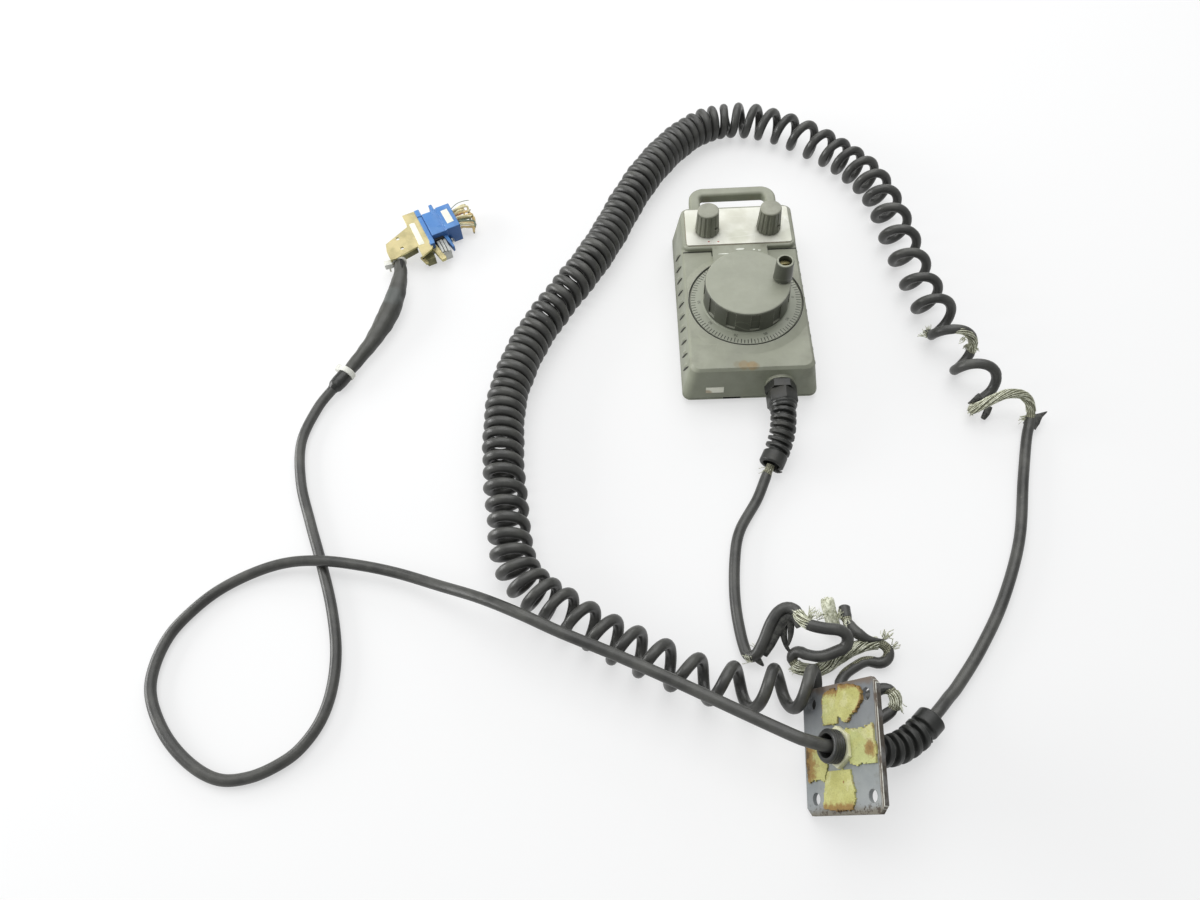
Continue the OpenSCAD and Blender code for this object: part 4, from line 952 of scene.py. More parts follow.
wires = screen(stretch(LAST_ARC[1], (186, -87, 7.5)), 13, 2.95, 0.36)
wires += screen(stretch((8, -254, 3.8), (60, -244, 9)), 19, 3.5, 0.42)
wires += screen(stretch((10.5, -229, 23), (17, -237.4, 25)), 13, 3.2)
wires += screen(stretch((63.5, -273, 8), (60, -282.5, 5.5)), 14, 3.1)
wires += screen(stretch((141, -24.5, 24.5), (158, -34, 7.5)), 13, 2.9)
stub_path = spline([(34.5, -234, 5), (33, -227, 8), (32, -220.5, 9.5), (31.8, -214.6, 9.6)], 0.8)
wires += screen(stub_path[:-2], 20, 3.7, 0.42, 90)
for at, heading, count, length, spread in (
        ((8, -121, 8), (-0.5, -1, 0.1), 16, 5, 0.5),
        ((5.5, -122, 8), (-1, -0.6, 0), 6, 6, 0.5),
        ((-18, -252, 6), (-0.6, 0.5, 0.6), 14, 6, 0.7),
        ((-12, -246, 8), (-0.9, 0.5, 0.3), 8, 6, 0.5),
        ((12, -230, 24), (-0.9, 0.3, 0.3), 20, 5, 0.6),
        ((16, -234, 26), (0.6, 0.9, 0.3), 22, 8, 0.45),
        ((22, -233, 24), (0.8, 0.6, 0.3), 12, 6, 0.7),
        ((21, -258, 5), (-0.2, -1, 0.1), 14, 5, 0.8),
        ((10, -257, 4), (-0.9, -0.4, 0.2), 12, 6, 0.6),
        ((61, -242, 11), (0.6, 0.8, 0.3), 18, 7, 0.7),
        ((66, -246, 9), (0.8, 0.6, 0.5), 14, 6, 0.7),
        ((65, -280, 7), (0.4, -1, 0), 8, 4, 0.6),
        ((41, -230, 12), (0.1, -1, 0.3), 30, 6, 0.6),
        ((37.5, -228, 10), (0.3, 1, 0.4), 16, 6, 0.5),
        ((131, -17, 9), (-0.8, 0.3, 0.4), 18, 7, 0.55),
        ((133, -13.5, 9), (-0.5, 0.9, 0.3), 10, 5, 0.5),
        ((150, -30, 22), (-0.4, -0.9, 0), 12, 5, 0.6),
        ((155, -32, 16), (-0.8, -0.6, 0), 18, 5, 0.6),
        ((159, -32.5, 13), (0.8, -0.6, 0.1), 10, 4, 0.6),
        ((183.5, -88, 7), (-0.8, -0.4, 0.2), 10, 9, 0.35),
        ((148.5, -81, 6), (-0.5, -0.9, 0.1), 12, 4, 0.6)):
    wires += sprig(at, heading, count, length, spread)
frayed_screen = bundle("frayed_screen", wires, strand_mat)
screen_tuft = tube("screen_tuft", stub_path,
                   lambda s, a, i: 3.8 * min(1, max(0.1, (20.3 - s) / 2.6)) ** 0.5,
                   strand_mat, 20)
torn_end = tube("torn_end", spline([(41.6, -219.8, 8.8), (41.4, -226, 9.4), (42.4, -233, 11),
                                    (46.5, -239, 12.5), (53, -242.5, 12.5),
                                    (62, -243.2, 13.5)], 0.8),
                lambda s, a, i: 3.2 * min(1, 0.35 + (s / 2.2) ** 0.5) * min(1.1, (37 - s) / 14),
                lead_mat, 16, bare=lambda p, m: max(0, 1 - abs(m.y + 230) / 3))
# Strips of torn jacket: name, route, widths along it, thickness
SHREDS = [
    ("shred_a", [(184.5, -94, 4.6), (187.6, -90.5, 6), (192.5, -87, 6.4), (198.5, -83.5, 6)],
         [4.6, 4.4, 1.8, 0.3], 0.5),
    ("shred_b", [(158, -68, 6), (153, -72.4, 8.8), (148.6, -75.4, 9.4), (146.5, -76.4, 9)],
         [2.4, 2.2, 1.4, 0.5], 0.6),
    ("shred_c", [(162, -77, 5), (159.5, -81, 3.6), (156.5, -85, 2.4)],
         [2.0, 2.4, 1.6], 1.0),
    ("shred_d", [(136, -14, 9.5), (132, -13.2, 9.5), (128.4, -13.6, 9)],
         [1.8, 1.7, 1.0], 0.8),
    ("shred_e", [(-14.5, -250, 8.5), (-12.5, -252, 6.5), (-10, -254.5, 5)],
         [2.6, 1.9, 0.5], 0.5),
    ("split_jacket", [(-9.5, -249, 7.5), (-5, -242, 11), (0, -234, 14.5), (4.5, -229.6, 17.5),
                          (9, -231, 19), (11.5, -236, 19)], [2.0, 3.1, 3.4, 3.4, 3.0, 2.2], 2.2),
    ("shred_f", [(3, -228, 18), (2.6, -236, 13), (4, -244, 9), (7, -248.5, 7.5)],
         [3.0, 2.6, 1.6, 0.6], 0.5),
    ("shred_g", [(7, -232, 18), (6.5, -239, 14), (5, -244.5, 11)],
         [2.4, 1.8, 0.5], 0.5),
    ("shred_h", [(10, -122, 7), (12.5, -124.5, 7.5), (15, -125, 8)],
         [1.8, 1.4, 0.4], 0.4)]
shreds = joined("jacket_shreds", [flap(*row, frayed_mat) for row in SHREDS])
extras = [frayed_screen, screen_tuft, torn_end, shreds]
for piece in extras:
    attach(piece, "case")

# The collar and the shrunk sleeve on the tail's far end


def swelling(name, route, diameters, material, sides, lump):
    """A tube whose thickness follows a list of diameters along its route."""
    path = spline(route, 0.8)
    last = len(path) - 1

    def radius(s, a, i):
        d = between(diameters, i / last, ease=True)
        return d / 2 * (1 + lump * noise.noise((s / 6, math.cos(a), math.sin(a) + 3)))

    return tube(name, path, radius, material, sides)


tail_collar = swelling("tail_collar", [(-299.6, -43, 5.9), (-299, -42, 6), (-295, -36, 6.4),
                                       (-291, -30, 6.8)], [7.4, 10.4, 11, 10.8, 10.4], gland_mat,
                       32, 0.02)
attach(tail_collar, "case")
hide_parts("tail_ferrule")

sleeve = swelling("sleeve", [(-291, -30, 6.8), (-284, -18, 7.4), (-276, -4, 8.2), (-269.5, 11, 8.8),
                             (-265, 25, 9.2), (-262.4, 37, 9.6), (-261, 48, 9.6), (-260.5, 58, 9.4),
                             (-260.9, 68, 9.2), (-263.4, 78, 9)],
                  [8.6, 9.6, 10.8, 12.6, 14.6, 15.2, 14.4, 12.4, 10.2, 8.4], shrink_mat, 40, 0.05)
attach(sleeve, "case")
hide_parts("wire_sleeve")

ENTRY = PLATE @ Matrix.Translation((31.5, 33.5, 0))
entry_mouth = [ENTRY @ Vector((0, 0, 3)), ENTRY @ Vector((0.3, 0, 10))]
tail_path = spline(entry_mouth + [(4, -306.2, 39.6)] + TAIL)
tail_cord = tube("tail_cord", tail_path, LEAD_R, lead_mat, sides=16, bare=lambda p, m: 0.0)
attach(tail_cord, "case")
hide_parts("tail_lead")

# ---------------------------------------------------------------- boots and glands

BOOT_R = 8.7
COLLAR = 9


def spiral_boot(name, route, turns, rim):
    """A strain relief: a rim, a rounded spiral fin, and an open collar at its far end."""
    path = spline(route, 0.32)
    axes = frames_along(path)
    total = length_of(path) / MM
    first, last = 4, total - COLLAR - 1.4
    stations = []
    travel = 0
    for i, (p, (_, side, up)) in enumerate(zip(path, axes)):
        if i:
            travel += (p - path[i - 1]).length
        if travel > total - COLLAR:
            edge = min(travel - (total - COLLAR), total - travel)
            r = BOOT_R - 0.3 - 0.9 * max(0, 1 - edge / 1.1) ** 2
        elif travel > last:
            r = BOOT_R - 2.9
        elif travel < 3:
            r = rim - 0.9 * abs(travel / 1.5 - 1) ** 2.5
        else:
            turn = turns * (travel - first) / (last - first)

            def r(a, turn=turn):
                wave = 0.5 + 0.5 * math.cos(math.tau * turn - a)
                fin = clamp((wave - 0.18) / 0.45)
                return BOOT_R - 3 + 3 * fin * fin * (3 - 2 * fin)
        stations.append((p, side, up, r))
    heading, side, up = axes[-1]
    for r, back in ((BOOT_R - 1.8, -0.1), (BOOT_R - 2.9, 0.4), (BOOT_R - 3.2, 5), (3.4, 5.2)):
        stations.append((path[-1] - back * heading, side, up, r))
    return stack(name, stations, gland_mat, 56)


CAP_PLACE = facing((19.5, -68.8, 18), (0, -1, 0))
gland_cap = prism("gland_cap", hexagon(19, 22), 0, 9.8, gland_mat, CAP_PLACE, 0.8)
cap_ring = lathe("cap_ring", [(0, 9.6), (9.3, 9.6), (9.7, 10.1), (9.6, 11), (8.6, 12.2), (0, 12.2)],
                 gland_mat, 64, CAP_PLACE)
boot = spiral_boot("boot", [(19.5, -79.3, 18), (19, -88, 17), (17.5, -98, 14.6), (14, -108, 11),
                            (8, -120, 8.8)], 5.7, 8.9)
gland_relief = joined("gland_relief", [gland_cap, cap_ring, boot])
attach(gland_relief, "case")
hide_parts("gland_boot")

plate_relief = spiral_boot("plate_relief", [
    tuple(ENTRY @ Vector((0, 0, -10.5))), (41, -308.6, 21.6), (50, -307.5, 17.2),
    (59, -304.5, 13.4), (68, -299, 10.8), (74.5, -293.7, 9.7), (80.8, -287.9, 9.1)], 6.8, 8.9)
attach(plate_relief, "case")
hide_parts("plate_boot")

profile = [(0, 2.5), (5.6, 2.5), (6.1, 9.3), (6.5, 9.9), (7.6, 10), (8.3, 9.7)]
for step in range(4):
    profile += [(8.9, 9.0 - 1.55 * step), (8.9, 8.6 - 1.55 * step), (8.2, 8.1 - 1.55 * step)]
profile += [(7.6, 3.05), (7.6, -2.6), (0, -2.6)]
entry_end = lathe("entry_end", profile, gland_mat, 64, ENTRY)
entry_hex = prism("entry_hex", hexagon(19), -10.5, -2.55, gland_mat, ENTRY, 0.8)
plate_entry = joined("plate_entry", [entry_end, entry_hex])
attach(plate_entry, "case")
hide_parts("plate_gland_body")

# ---------------------------------------------------------------- foam on the plate


pads = [
    ragged_pad("pad_top_left", [(18.5, 46.3), (30.5, 45.5), (31.5, 50), (30, 55), (31, 61.5),
                                (29, 65.2), (22, 64), (18.6, 61), (17.9, 52)], 1.0, foam_mat,
               lambda x, y, e: max(0.8 - e / 3 - 0.25, (y - 58) / 6)),
    ragged_pad("pad_top", [(31, 50.5), (36.5, 46), (40.6, 46.2), (42.5, 49.5), (46.5, 50),
                           (49, 52.5), (51.7, 55.5), (52.6, 59.5), (49.5, 63), (42, 65.3),
                           (34, 65.6), (31.5, 62), (30.2, 56)], 1.6, foam_mat,
               lambda x, y, e: max(1.0 - e / 2.4, (y - 60.5) / 5) if x > 44 or y > 60
               else 0.5 - e / 3),
    ragged_pad("pad_right", [(37, 42.3), (44, 42), (52, 41.5), (58.8, 43.5), (59.4, 35),
                             (60.6, 30), (60, 23.8), (51, 24.4), (43, 23.5), (38.6, 26.2),
                             (37, 33)], 1.1, foam_mat,
               lambda x, y, e: max(0.4 - e / 3, 1.0 - math.hypot((x - 56) / 7, (y - 31) / 8))),
    ragged_pad("pad_bottom", [(20, 22), (29, 22.2), (39, 21.8), (40.4, 16.5), (41.5, 12),
                              (42, 7.5), (39.5, 2.4), (27, 2), (15.8, 3.2), (16, 9),
                              (17.6, 15.6)], 1.0, foam_mat,
               lambda x, y, e: max(0.35 - e / 3, (9 - y) / 7,
                                   1 - math.hypot(x - 33.5, y - 16) / 1.2)),
    ragged_pad("pad_left", [(1.8, 37.5), (13.4, 36), (14.3, 29.5), (20.6, 25), (17.6, 17),
                            (11.7, 18.2), (2.9, 17), (2.4, 27)], 1.0, foam_mat,
               lambda x, y, e: max(0.3 - e / 3, 1.1 - (x - 2) / 14 - max(0, 20 - y) / 14))]
foam_pads = joined("foam_pads", pads)
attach(foam_pads, "case")
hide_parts("plate_gaskets")

# ---------------------------------------------------------------- ties and connector


def tie(name, at, along, inner, head, toward):
    """A ratchet tie: a strap, a square head and the cut end of its tail."""
    place = facing(at, along)
    half = 2.1
    strap = lathe(name + "_band", [(inner, -half), (inner + 1.0, -half), (inner + 1.3, -half + 0.4),
                                  (inner + 1.3, half - 0.4), (inner + 1.0, half), (inner, half),
                                  (inner, -half)], tie_mat, 48, place)
    spot = facing(Vector(at) + Vector(toward), along)
    head_block = prism(name + "_head", rectangle(-head, -head * 0.75, head, head * 0.75),
                       -half - 0.5, half + 0.5, tie_mat, spot, 0.5)
    tail = prism(name + "_tail", rectangle(-0.6, -head - 3.5, 0.6, -head + 1), -half + 0.3,
                 half - 0.3, tie_mat, spot, 0.2)
    return [strap, head_block, tail]


# A near-black strip along the slit in the sleeve: painted shade.
sleeve_slit = flap("sleeve_slit", [(-260.6, 76, 13.0), (-259.4, 71, 13.7), (-258.2, 66, 14.2)],
                   [0.9, 1.5, 0.3], 0.5, opening_shade_mat)
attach(sleeve_slit, "case")
ties = joined("ties", tie("near_tie", (-290.4, -29, 6.9), (7, 12, 0.5), 4.9, 2.2, (-6.2, 3.6, 1))
              + tie("far_tie", (-263.2, 76.8, 9), (-2.4, 9, 0), 4.6, 3.2, (-7.4, -4.2, 1.5))
              + tie("back_tie", (-264.5, 81.2, 9), (-2.4, 9, 0), 4.7, 1.2, (-4.5, 3, -3)))
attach(ties, "case")
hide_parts("cable_ties")

CONNECTOR = Matrix.Translation((-246, 108, 0)) @ Matrix.Rotation(math.radians(25), 4, "Z")


def block(name, shape, low, high, material, bevel=0.6):
    """A block on the connector: a tuple is a rectangle's corners, a list an outline."""
    outline = rectangle(*shape) if isinstance(shape, tuple) else shape
    return prism(name, outline, low, high, material, CONNECTOR, bevel)


def punched(name, outline, holes, low, high, material, place):
    """A plate with round holes: holes are (x, y, radius)."""
    loops = [outline]
    for x, y, r in holes:
        loops.append([(x + r * math.cos(math.tau * i / 20), y + r * math.sin(math.tau * i / 20))
                      for i in range(20)])
    flat = [(x, y) for loop in loops for x, y in loop]
    count = len(flat)
    verts = [(x, y, z) for z in (low, high) for x, y in flat]
    faces = []
    for a, b, c in tessellate_polygon([[Vector((x, y, 0)) for x, y in loop] for loop in loops]):
        faces += [(c, b, a), (a + count, b + count, c + count)]
    start = 0
    for loop in loops:
        faces += band(start, start + count, len(loop))
        start += len(loop)
    return mesh_piece(name, verts, faces, material, place=place)


socket = joined("socket_shell", [
    block("band", (-0.8, -20.6, 3.0, 10.6), 2.6, 16.3, blue_mat, 0.7),
    block("hook_top", (-0.9, 10, 3.1, 18.2), 6, 17, blue_mat),
    block("hook_foot", (-1.4, -23.4, 2.4, -19.6), 11, 17, blue_mat),
    block("step", (3, -14, 10.8, 12.8), 2.6, 12, blue_mat)])
plug = joined("plug_shell", [
    block("front", (3.1, -15.4, 16.0, 10.8), 4, 17.4, blue_mat, 0.5),
    block("hood", (15.4, -15.8, 26.8, 11.4), 2.4, 18.6, blue_mat, 0.5),
    block("hood_rim", (14.2, -16.0, 15.9, 11.2), 3, 17.9, blue_mat, 0.3),
    block("ear_top", [(11.2, 10), (14.6, 10), (14.4, 19), (11.6, 19)], 5, 16.6, blue_mat),
    block("ear_foot", [(11.6, -15), (15.2, -15), (15.6, -22), (16, -29.4), (14.4, -30),
                       (12.8, -21)], 7, 12.4, blue_mat),
    # A near-black block in the slot beside the plug: painted shade.
    block("cavity", (3.6, -17.4, 11.4, -15.2), 3, 13.4, opening_shade_mat, 0.2),
    block("plug_label", [(18.2, -10.2), (23.9, -9.8), (23.4, 5.9), (17.9, 5.5)], 18.5, 18.72,
          label_mat, 0.05)])
lock = joined("lock_block", [
    block("lock_body", (4.6, -31.8, 12.2, -17.2), 3, 10.6, lock_mat, 0.5),
    block("bar_a", (4.7, -30.6, 6.9, -17.4), 9, 12, lock_mat, 0.5),
    block("bar_b", (7.2, -31.2, 9.4, -17.0), 9, 12.2, lock_mat, 0.5),
    block("bar_c", (9.7, -31.9, 12.2, -17.4), 9, 11.8, lock_mat, 0.5),
    lathe("lock_screw", [(0, -0.6), (2.2, -0.6), (2.2, 1.8), (1.6, 2.3), (0.7, 2.3), (0.6, 1.7),
                         (0, 1.7)], zinc_mat, 32,
          CONNECTOR @ facing((16.2, -18.5, 8), (1, -0.3, 0.5)))])
olive_mat = surface("zinc_shadow", (0.17, 0.165, 0.08), 0.45, metal=0.5, mottle=0.25,
                    mottle_size=6, grain=0.2, grime=((0.1, 0.08, 0.03), 0.5))
bracket = joined("bracket", [
    punched("bracket_plate", [(-11, 19), (0, 19), (0, -24.5), (-1.9, -26.9), (-10.9, -31.3),
                              (-10.8, -19.2), (-25.2, -22), (-31, -23.4), (-34.7, -22.4),
                              (-34.7, -12.8), (-32.8, -4.9), (-12.2, 4.7), (-11, 5.6)],
            [(-22.4, -3.5, 1.7), (-22.5, -15, 1.6)], 14, 15.5, yellow_mat, CONNECTOR),
    block("leg_top", (-10, 17.5, -1, 19), 0.2, 14.2, yellow_mat, 0.3),
    block("leg_foot", (-9.5, -26.5, -1, -25), 0.2, 14.2, olive_mat, 0.3),
    block("tab_skirt", [(-24, -21.4), (-11.4, -18.9), (-11.2, -17.6), (-24, -20)], 8.5, 14.2,
          olive_mat, 0.2),
    block("tab_foot", [(-34.4, -22.2), (-26, -22.2), (-26, -20.6), (-34.4, -20.6)], 9, 14.2,
          yellow_mat, 0.3),
    block("ear", [(-1.2, -20.8), (3.5, -19.2), (6.3, -35.6), (5.4, -37.5), (2, -37.7)], 8.5, 11.2,
          yellow_mat, 0.5),
    block("inner_leg", (-8.6, -31, -1.4, -22), 2.5, 9.5, olive_mat, 0.4),
    block("foot_tab", [(-12.4, -24.2), (-9.2, -22.8), (-7.8, -32), (-10.2, -32.6)], 6.6, 8.2,
          yellow_mat, 0.3),
    # A near-black sheet in the tab's hole: painted shade.
    block("tab_hole", [(-10.9, -25.9), (-9.7, -25.6), (-9.6, -27.2), (-10.7, -27.4)], 8.15, 8.25,
          opening_shade_mat, 0.02),
    block("strip_label", [(-9.4, -18.6), (-4.9, -18.8), (-4.7, 6.6), (-7, 7.4), (-9.2, 6.6)],
          15.45, 15.64, label_mat, 0.05)])
for piece, slot in ((socket, "socket_blue"), (plug, "socket_blue"), (lock, "lock_metal"),
                    (bracket, "zinc_yellow")):
    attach(piece, "case")
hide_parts("connector_bracket")
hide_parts("connector_socket")
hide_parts("connector_plug")
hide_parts("connector_hardware")


def wire_finish(name, colour):
    return surface(name, colour, 0.45, mottle=0.15, mottle_size=3, grain=0.1, edge=0.1,
                   grime=(shade(colour, 0.5), 0.3))


WIRE_COLOURS = [wire_finish("wire_tan", (0.80, 0.62, 0.30)),
                wire_finish("wire_cream", (0.88, 0.80, 0.50)),
                wire_finish("wire_green", (0.20, 0.25, 0.18)),
                wire_finish("wire_brown", (0.36, 0.16, 0.10))]


def cut_wires():
    """The cut wires standing out of the plug's end, some bent back over the others."""
    bunches = [[] for _ in WIRE_COLOURS]
    for i in range(19):
        share = i / 18
        colour = (0, 1, 0, 1, 1, 2, 0, 3)[i % 8] if share < 0.62 else (2, 1, 0, 3)[i % 4]
        y = 9.5 - 19 * share + random.uniform(-0.8, 0.8)
        z = random.uniform(5.5, 14.5)
        reach = 10.5 + 3 * math.sin(math.pi * share) * random.random() + 3 * random.random()
        swing = 5 - 8.5 * share + random.uniform(-2.5, 2.5)
        route = [(25.8, y, z), (29.5, y + 0.15 * swing, z + 1.2),
                 (26 + 0.65 * reach, y + 0.55 * swing, z + 1.5 * random.random()),
                 (26 + reach, y + swing, max(1.2, z - 1.5 * random.random()))]
        if i % 2 == 0:
            route.append((25.5 + reach, y + swing - 3.2, max(1.2, z - 3.6)))
        path = [CONNECTOR @ p for p in spline(route, 1)]
        bunches[colour].append((path, 0.95 if colour < 2 else 0.75))
    thin = spline([(26, 9, 13), (33, 11.5, 14.5), (39, 13, 13.5), (43.6, 13.6, 12)], 1)
    bunches[2].append(([CONNECTOR @ p for p in thin], 0.3))
    tips = []
    for bunch in bunches:
        for path, radius in bunch:
            ahead = (path[-1] - path[-2]).normalized()
            tips.append(([path[-1] - 0.3 * ahead, path[-1] + 1.1 * ahead], radius * 0.6))
    pieces = [bundle("wires", bunch, finish, 10) for bunch, finish in zip(bunches, WIRE_COLOURS)]
    return joined("cut_wires", pieces + [bundle("tips", tips, brass_mat, 8)])


wire_ends = cut_wires()
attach(wire_ends, "case")
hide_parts("wire_tails")

# ---------------------------------------------------------------- dial marks

ink_mat = surface("worn_ink", (0.035, 0.036, 0.03), 0.5, mottle=0.3, mottle_size=3, grain=0.1,
                  edge=0.05, grime=((0.17, 0.17, 0.13), 0.7))
DIAL_EDGE = (38.8, 36.0)
DIAL_SLOPE = 0.7 / 8.2
TICKS = 100
TICK_TURN = 0.3  # how far the dial is turned at rest, in ticks
TICK_OUT, TICK_IN, LONG_TICK_IN, TICK_HALF = 38.7, 35.3, 34.8, 0.29
NUMBER_RADIUS, NUMBER_SIZE = 32.9, 2.9


def on_dial(radius, angle, lift=0.03):
    return Vector((radius * math.cos(angle), radius * math.sin(angle),
                   DIAL_EDGE[1] + (DIAL_EDGE[0] - radius) * DIAL_SLOPE + lift))


def tick_angle(i):
    return math.tau * (i + TICK_TURN) / TICKS


def dial_marks():
    """A hundred worn graduations and their plain numbers, printed on the sloping dial."""
    verts, faces = [], []
    for i in range(TICKS):
        a = tick_angle(i)
        inner = TICK_IN if i % 5 else LONG_TICK_IN
        inner += 0.5 * random.random()
        start = len(verts)
        for r, s in ((inner, -1), (TICK_OUT, -1), (TICK_OUT, 1), (inner, 1)):
            turn = Vector((-math.sin(a), math.cos(a), 0)) * TICK_HALF * s
            verts.append(on_dial(r, a) + turn)
        faces.append((start, start + 1, start + 2, start + 3))
    ticks = mesh_piece("ticks", verts, faces, ink_mat, smooth=False)
    numbers = []
    for i in range(10):
        curve = bpy.data.curves.new("number", "FONT")
        curve.body = str(i * 10)
        curve.size = NUMBER_SIZE
        curve.align_x = "CENTER"
        curve.align_y = "CENTER"
        carrier = shown("number", curve)
        graph = bpy.context.evaluated_depsgraph_get()
        flat = bpy.data.meshes.new_from_object(carrier.evaluated_get(graph))
        a = tick_angle(i * 10)
        points = []
        for v in flat.vertices:
            r = NUMBER_RADIUS + v.co.y
            points.append(on_dial(r, a - v.co.x / r))
        numbers.append(mesh_piece("number", points, [tuple(f.vertices) for f in flat.polygons],
                                  ink_mat, smooth=False))
        bpy.data.objects.remove(carrier)
    return joined("dial_marks", [ticks] + numbers)


marks = dial_marks()
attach(marks, "wheel")

# ---------------------------------------------------------------- marks on the case

white_mark = surface("white_paint", (0.72, 0.74, 0.66), 0.5, grain=0.1, edge=0.05,
                     grime=((0.3, 0.31, 0.25), 0.6), mottle_size=3)
red_mark = surface("red_paint", (0.45, 0.05, 0.03), 0.5, grain=0.1, edge=0.05)
# Near-black lines: painted shadows beside the grip ribs, and painted shade and dirt at the foot of
# the raised neck and panel.
shade_mark = surface("painted_shade_and_dirt", (0.030, 0.031, 0.025), 0.7, mottle=0.3, mottle_size=5,
                     grain=0.2, edge=0.1)
dirt_mark = surface("edge_dirt", (0.17, 0.14, 0.09), 0.8, mottle=0.4, mottle_size=4, grain=0.3,
                    edge=0.05)


def blot(name, centre, size, z, material, turn=0):
    """A thin irregular spot."""
    outline = []
    for i in range(18):
        a = math.tau * i / 18
        spot = (centre[0] + 2 * math.cos(a), centre[1] + 2 * math.sin(a), 4)
        wobble = 1 + 0.22 * noise.noise(spot)
        x, y = size[0] / 2 * wobble * math.cos(a), size[1] / 2 * wobble * math.sin(a)
        c, d = math.cos(turn), math.sin(turn)
        outline.append((centre[0] + c * x - d * y, centre[1] + d * x + c * y))
    return prism(name, outline, z, z + 0.05, material)


def foot_shade(name, *corners):
    """A dark line on the case's face: painted shade and dirt at the foot of a raised step."""
    return prism(name, rectangle(*corners), FACE_Z - 0.05, FACE_Z + 0.07, shade_mark)


NECK_Z = 37.6
FACE_Z = 34.3
RIBS, FIRST_RIB_Y, RIB_STEP = 10, -46.4, 11.5
rear_low = [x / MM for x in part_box("rear_cover")[0]]
low, high = [[x / MM for x in corner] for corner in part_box("legend_plate")]
# Dark strokes beside each grip rib on both side walls: painted shadows of the ribs.
rib_shadows = []
for i in range(RIBS):
    y = FIRST_RIB_Y + RIB_STEP * i
    for side in (-1, 1):
        ends = [(side * (42.2 + 5 * (FACE_Z - z) / 28.3), y + lean, z)
                for z, lean in ((13.5, 3.0), (20.5, -0.3), (28.5, -4.3))]
        rib_shadows.append(tube("rib_shadow", spline(ends, 1.5),
                              lambda s, a, i: 0.62 * max(0.1, 1 - (s / 8.4 - 1) ** 2) ** 0.5,
                              shade_mark, 8))
case_marks = joined("case_marks", rib_shadows + [
    # A near-black ring in the gap round the dial: painted shade.
    lathe("gap_shade", [(39.85, 36.26), (40.4, 36.26), (40.4, 36.37), (39.85, 36.37),
                       (39.85, 36.26)], opening_shade_mat, 120),
    # Painted shade and dirt along the feet of the neck's sides.
    foot_shade("left_corner", -20.7, 44.5, -20, 49.6),
    foot_shade("right_corner", 20, 45.5, 20.7, 49.6),
    blot("dash", (-11.9, 43.5), (8.6, 0.9), NECK_Z, white_mark),
    blot("blob", (0.1, 47.5), (6.4, 1.9), NECK_Z, white_mark, 0.05),
    blot("dot_a", (10.2, 46.6), (1.7, 1.4), NECK_Z, white_mark),
    blot("dot_b", (14.2, 45.8), (2.4, 1.6), NECK_Z, white_mark),
    blot("red_a", (-22.2, 55.5), (1.3, 1.0), high[2] - 0.02, red_mark),
    blot("red_b", (-15.2, 55.1), (1.6, 0.9), high[2] - 0.02, red_mark),
    prism("foot_line", rectangle(low[0] + 1, low[1] - 0.5, high[0] - 1, low[1]), NECK_Z,
          NECK_Z + 0.06, dirt_mark),
    prism("side_line", rectangle(low[0] - 0.4, low[1] + 1, low[0], high[1] - 2), NECK_Z,
          NECK_Z + 0.06, dirt_mark),
    # Painted shade and dirt under the panel's lower border.
    foot_shade("left_foot", -41.5, 48.6, -20, 49.7),
    foot_shade("right_foot", 20, 48.6, 41.5, 49.7),
    # A near-black sheet where the drain slot is: painted shade.
    prism("drain_slot", rectangle(-18.9, rear_low[1] - 0.06, -6.2, rear_low[1] + 2), 4.1, 4.9,
          opening_shade_mat)])
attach(case_marks, "case")

# ---------------------------------------------------------------- finish of the CAD nodes

FINISH = {finish.name.split(".")[0]: finish for finish in (
    case_mat, rubber_mat, zinc_mat, legend_mat, black_mat, board_mat, steel_mat, disc_mat,
    brass_mat, dial_mat, wheel_mat, knob_mat, gland_mat, label_mat, lead_mat, nut_mat,
    plate_mat, foam_mat, shrink_mat, tie_mat, yellow_mat, blue_mat, lock_mat)}
FINISH["wire_mixed"] = nut_mat
for node in nodes.values():
    for holder in node.material_slots:
        holder.material = FINISH[holder.material.name.split(".")[0]]

# ---------------------------------------------------------------- light and floor


def cleared(owner):
    """A material's or a world's empty node tree."""
    owner.use_nodes = True
    owner.node_tree.nodes.clear()
    return owner.node_tree


FLOOR_REACH, FLOOR_Z, PAPER_GLOW = 4, -0.0002, 0.55


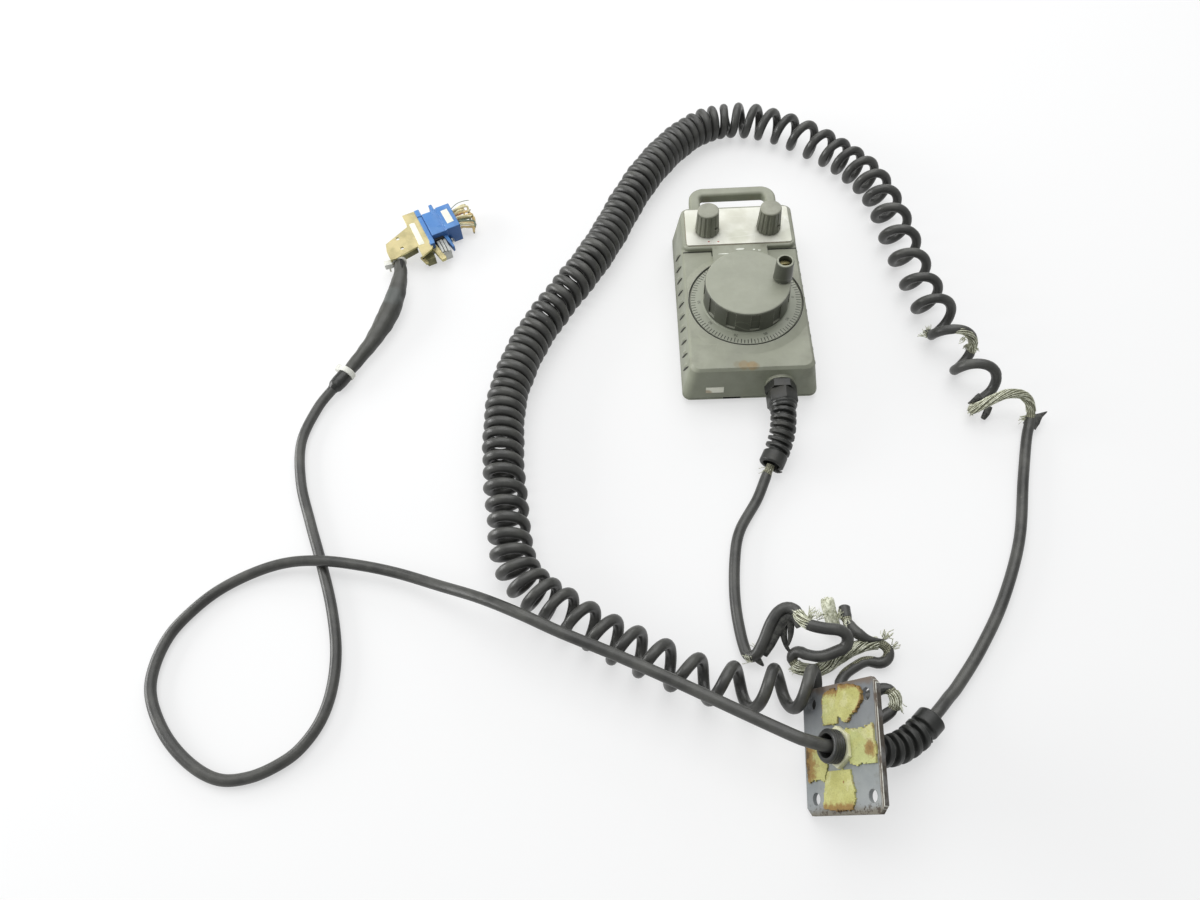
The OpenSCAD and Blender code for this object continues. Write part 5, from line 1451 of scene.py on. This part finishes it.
def make_stage():
    """White paper that glows a little for the camera and in reflections."""
    mesh = bpy.data.meshes.new("floor")
    corners = rectangle(-FLOOR_REACH, -FLOOR_REACH, FLOOR_REACH, FLOOR_REACH)
    mesh.from_pydata([(x, y, FLOOR_Z) for x, y in corners], [], [(0, 1, 2, 3)])
    floor = shown("floor", mesh)
    paper = bpy.data.materials.new("paper")
    tree = cleared(paper)
    rays = add_node(tree, "LightPath").outputs
    colour = add_node(tree, "Mix", {0: rays["Is Camera Ray"], 6: (0.72, 0.72, 0.70, 1),
                                    7: (0.9, 0.9, 0.9, 1)}, data_type="RGBA")
    seen = add_node(tree, "Math", {0: rays["Is Camera Ray"], 1: rays["Is Glossy Ray"]},
                    operation="MAXIMUM")
    both = add_node(tree, "Math", {0: seen.outputs[0], 1: rays["Is Transmission Ray"]},
                    operation="MAXIMUM")
    share = add_node(tree, "Math", {0: both.outputs[0], 1: PAPER_GLOW}, operation="MULTIPLY")
    diffuse = add_node(tree, "BsdfDiffuse", {"Color": colour.outputs[2]})
    glow = add_node(tree, "Emission", {"Color": (1, 1, 1, 1)})
    blend = add_node(tree, "MixShader", {0: share.outputs[0], 1: diffuse.outputs[0],
                                         2: glow.outputs[0]})
    add_node(tree, "OutputMaterial", {0: blend.outputs[0]})
    mesh.materials.append(paper)


def make_world():
    """A soft fill, seen as plain white by the camera."""
    world = bpy.data.worlds.new("studio")
    scene.world = world
    tree = cleared(world)
    rays = add_node(tree, "LightPath").outputs
    fill = add_node(tree, "Background", {"Color": (0.97, 0.99, 1.0, 1), "Strength": 0.4})
    white = add_node(tree, "Background", {"Color": (1, 1, 1, 1), "Strength": 1.0})
    blend = add_node(tree, "MixShader", {0: rays["Is Camera Ray"], 1: fill.outputs[0],
                                         2: white.outputs[0]})
    add_node(tree, "OutputWorld", {0: blend.outputs[0]})


def area_light(name, at, towards, size, power):
    data = bpy.data.lights.new(name, "AREA")
    data.shape = "RECTANGLE"
    data.size, data.size_y = size
    data.energy = power
    light = shown(name, data)
    light.location = at
    aim = Vector(towards) - Vector(at)
    light.rotation_euler = aim.to_track_quat("-Z", "Y").to_euler()


make_stage()
make_world()
area_light("overhead", (-0.1, 0.4, 1.35), (-0.05, -0.02, 0), (1.7, 1.2), 12.8)
area_light("back", (0.2, 1.5, 0.9), (0, 0, 0.02), (1.6, 0.7), 7)
area_light("left", (-1.5, 0.1, 0.4), (-0.05, 0, 0.02), (1.2, 0.6), 16)
scene.view_settings.view_transform = "Standard"
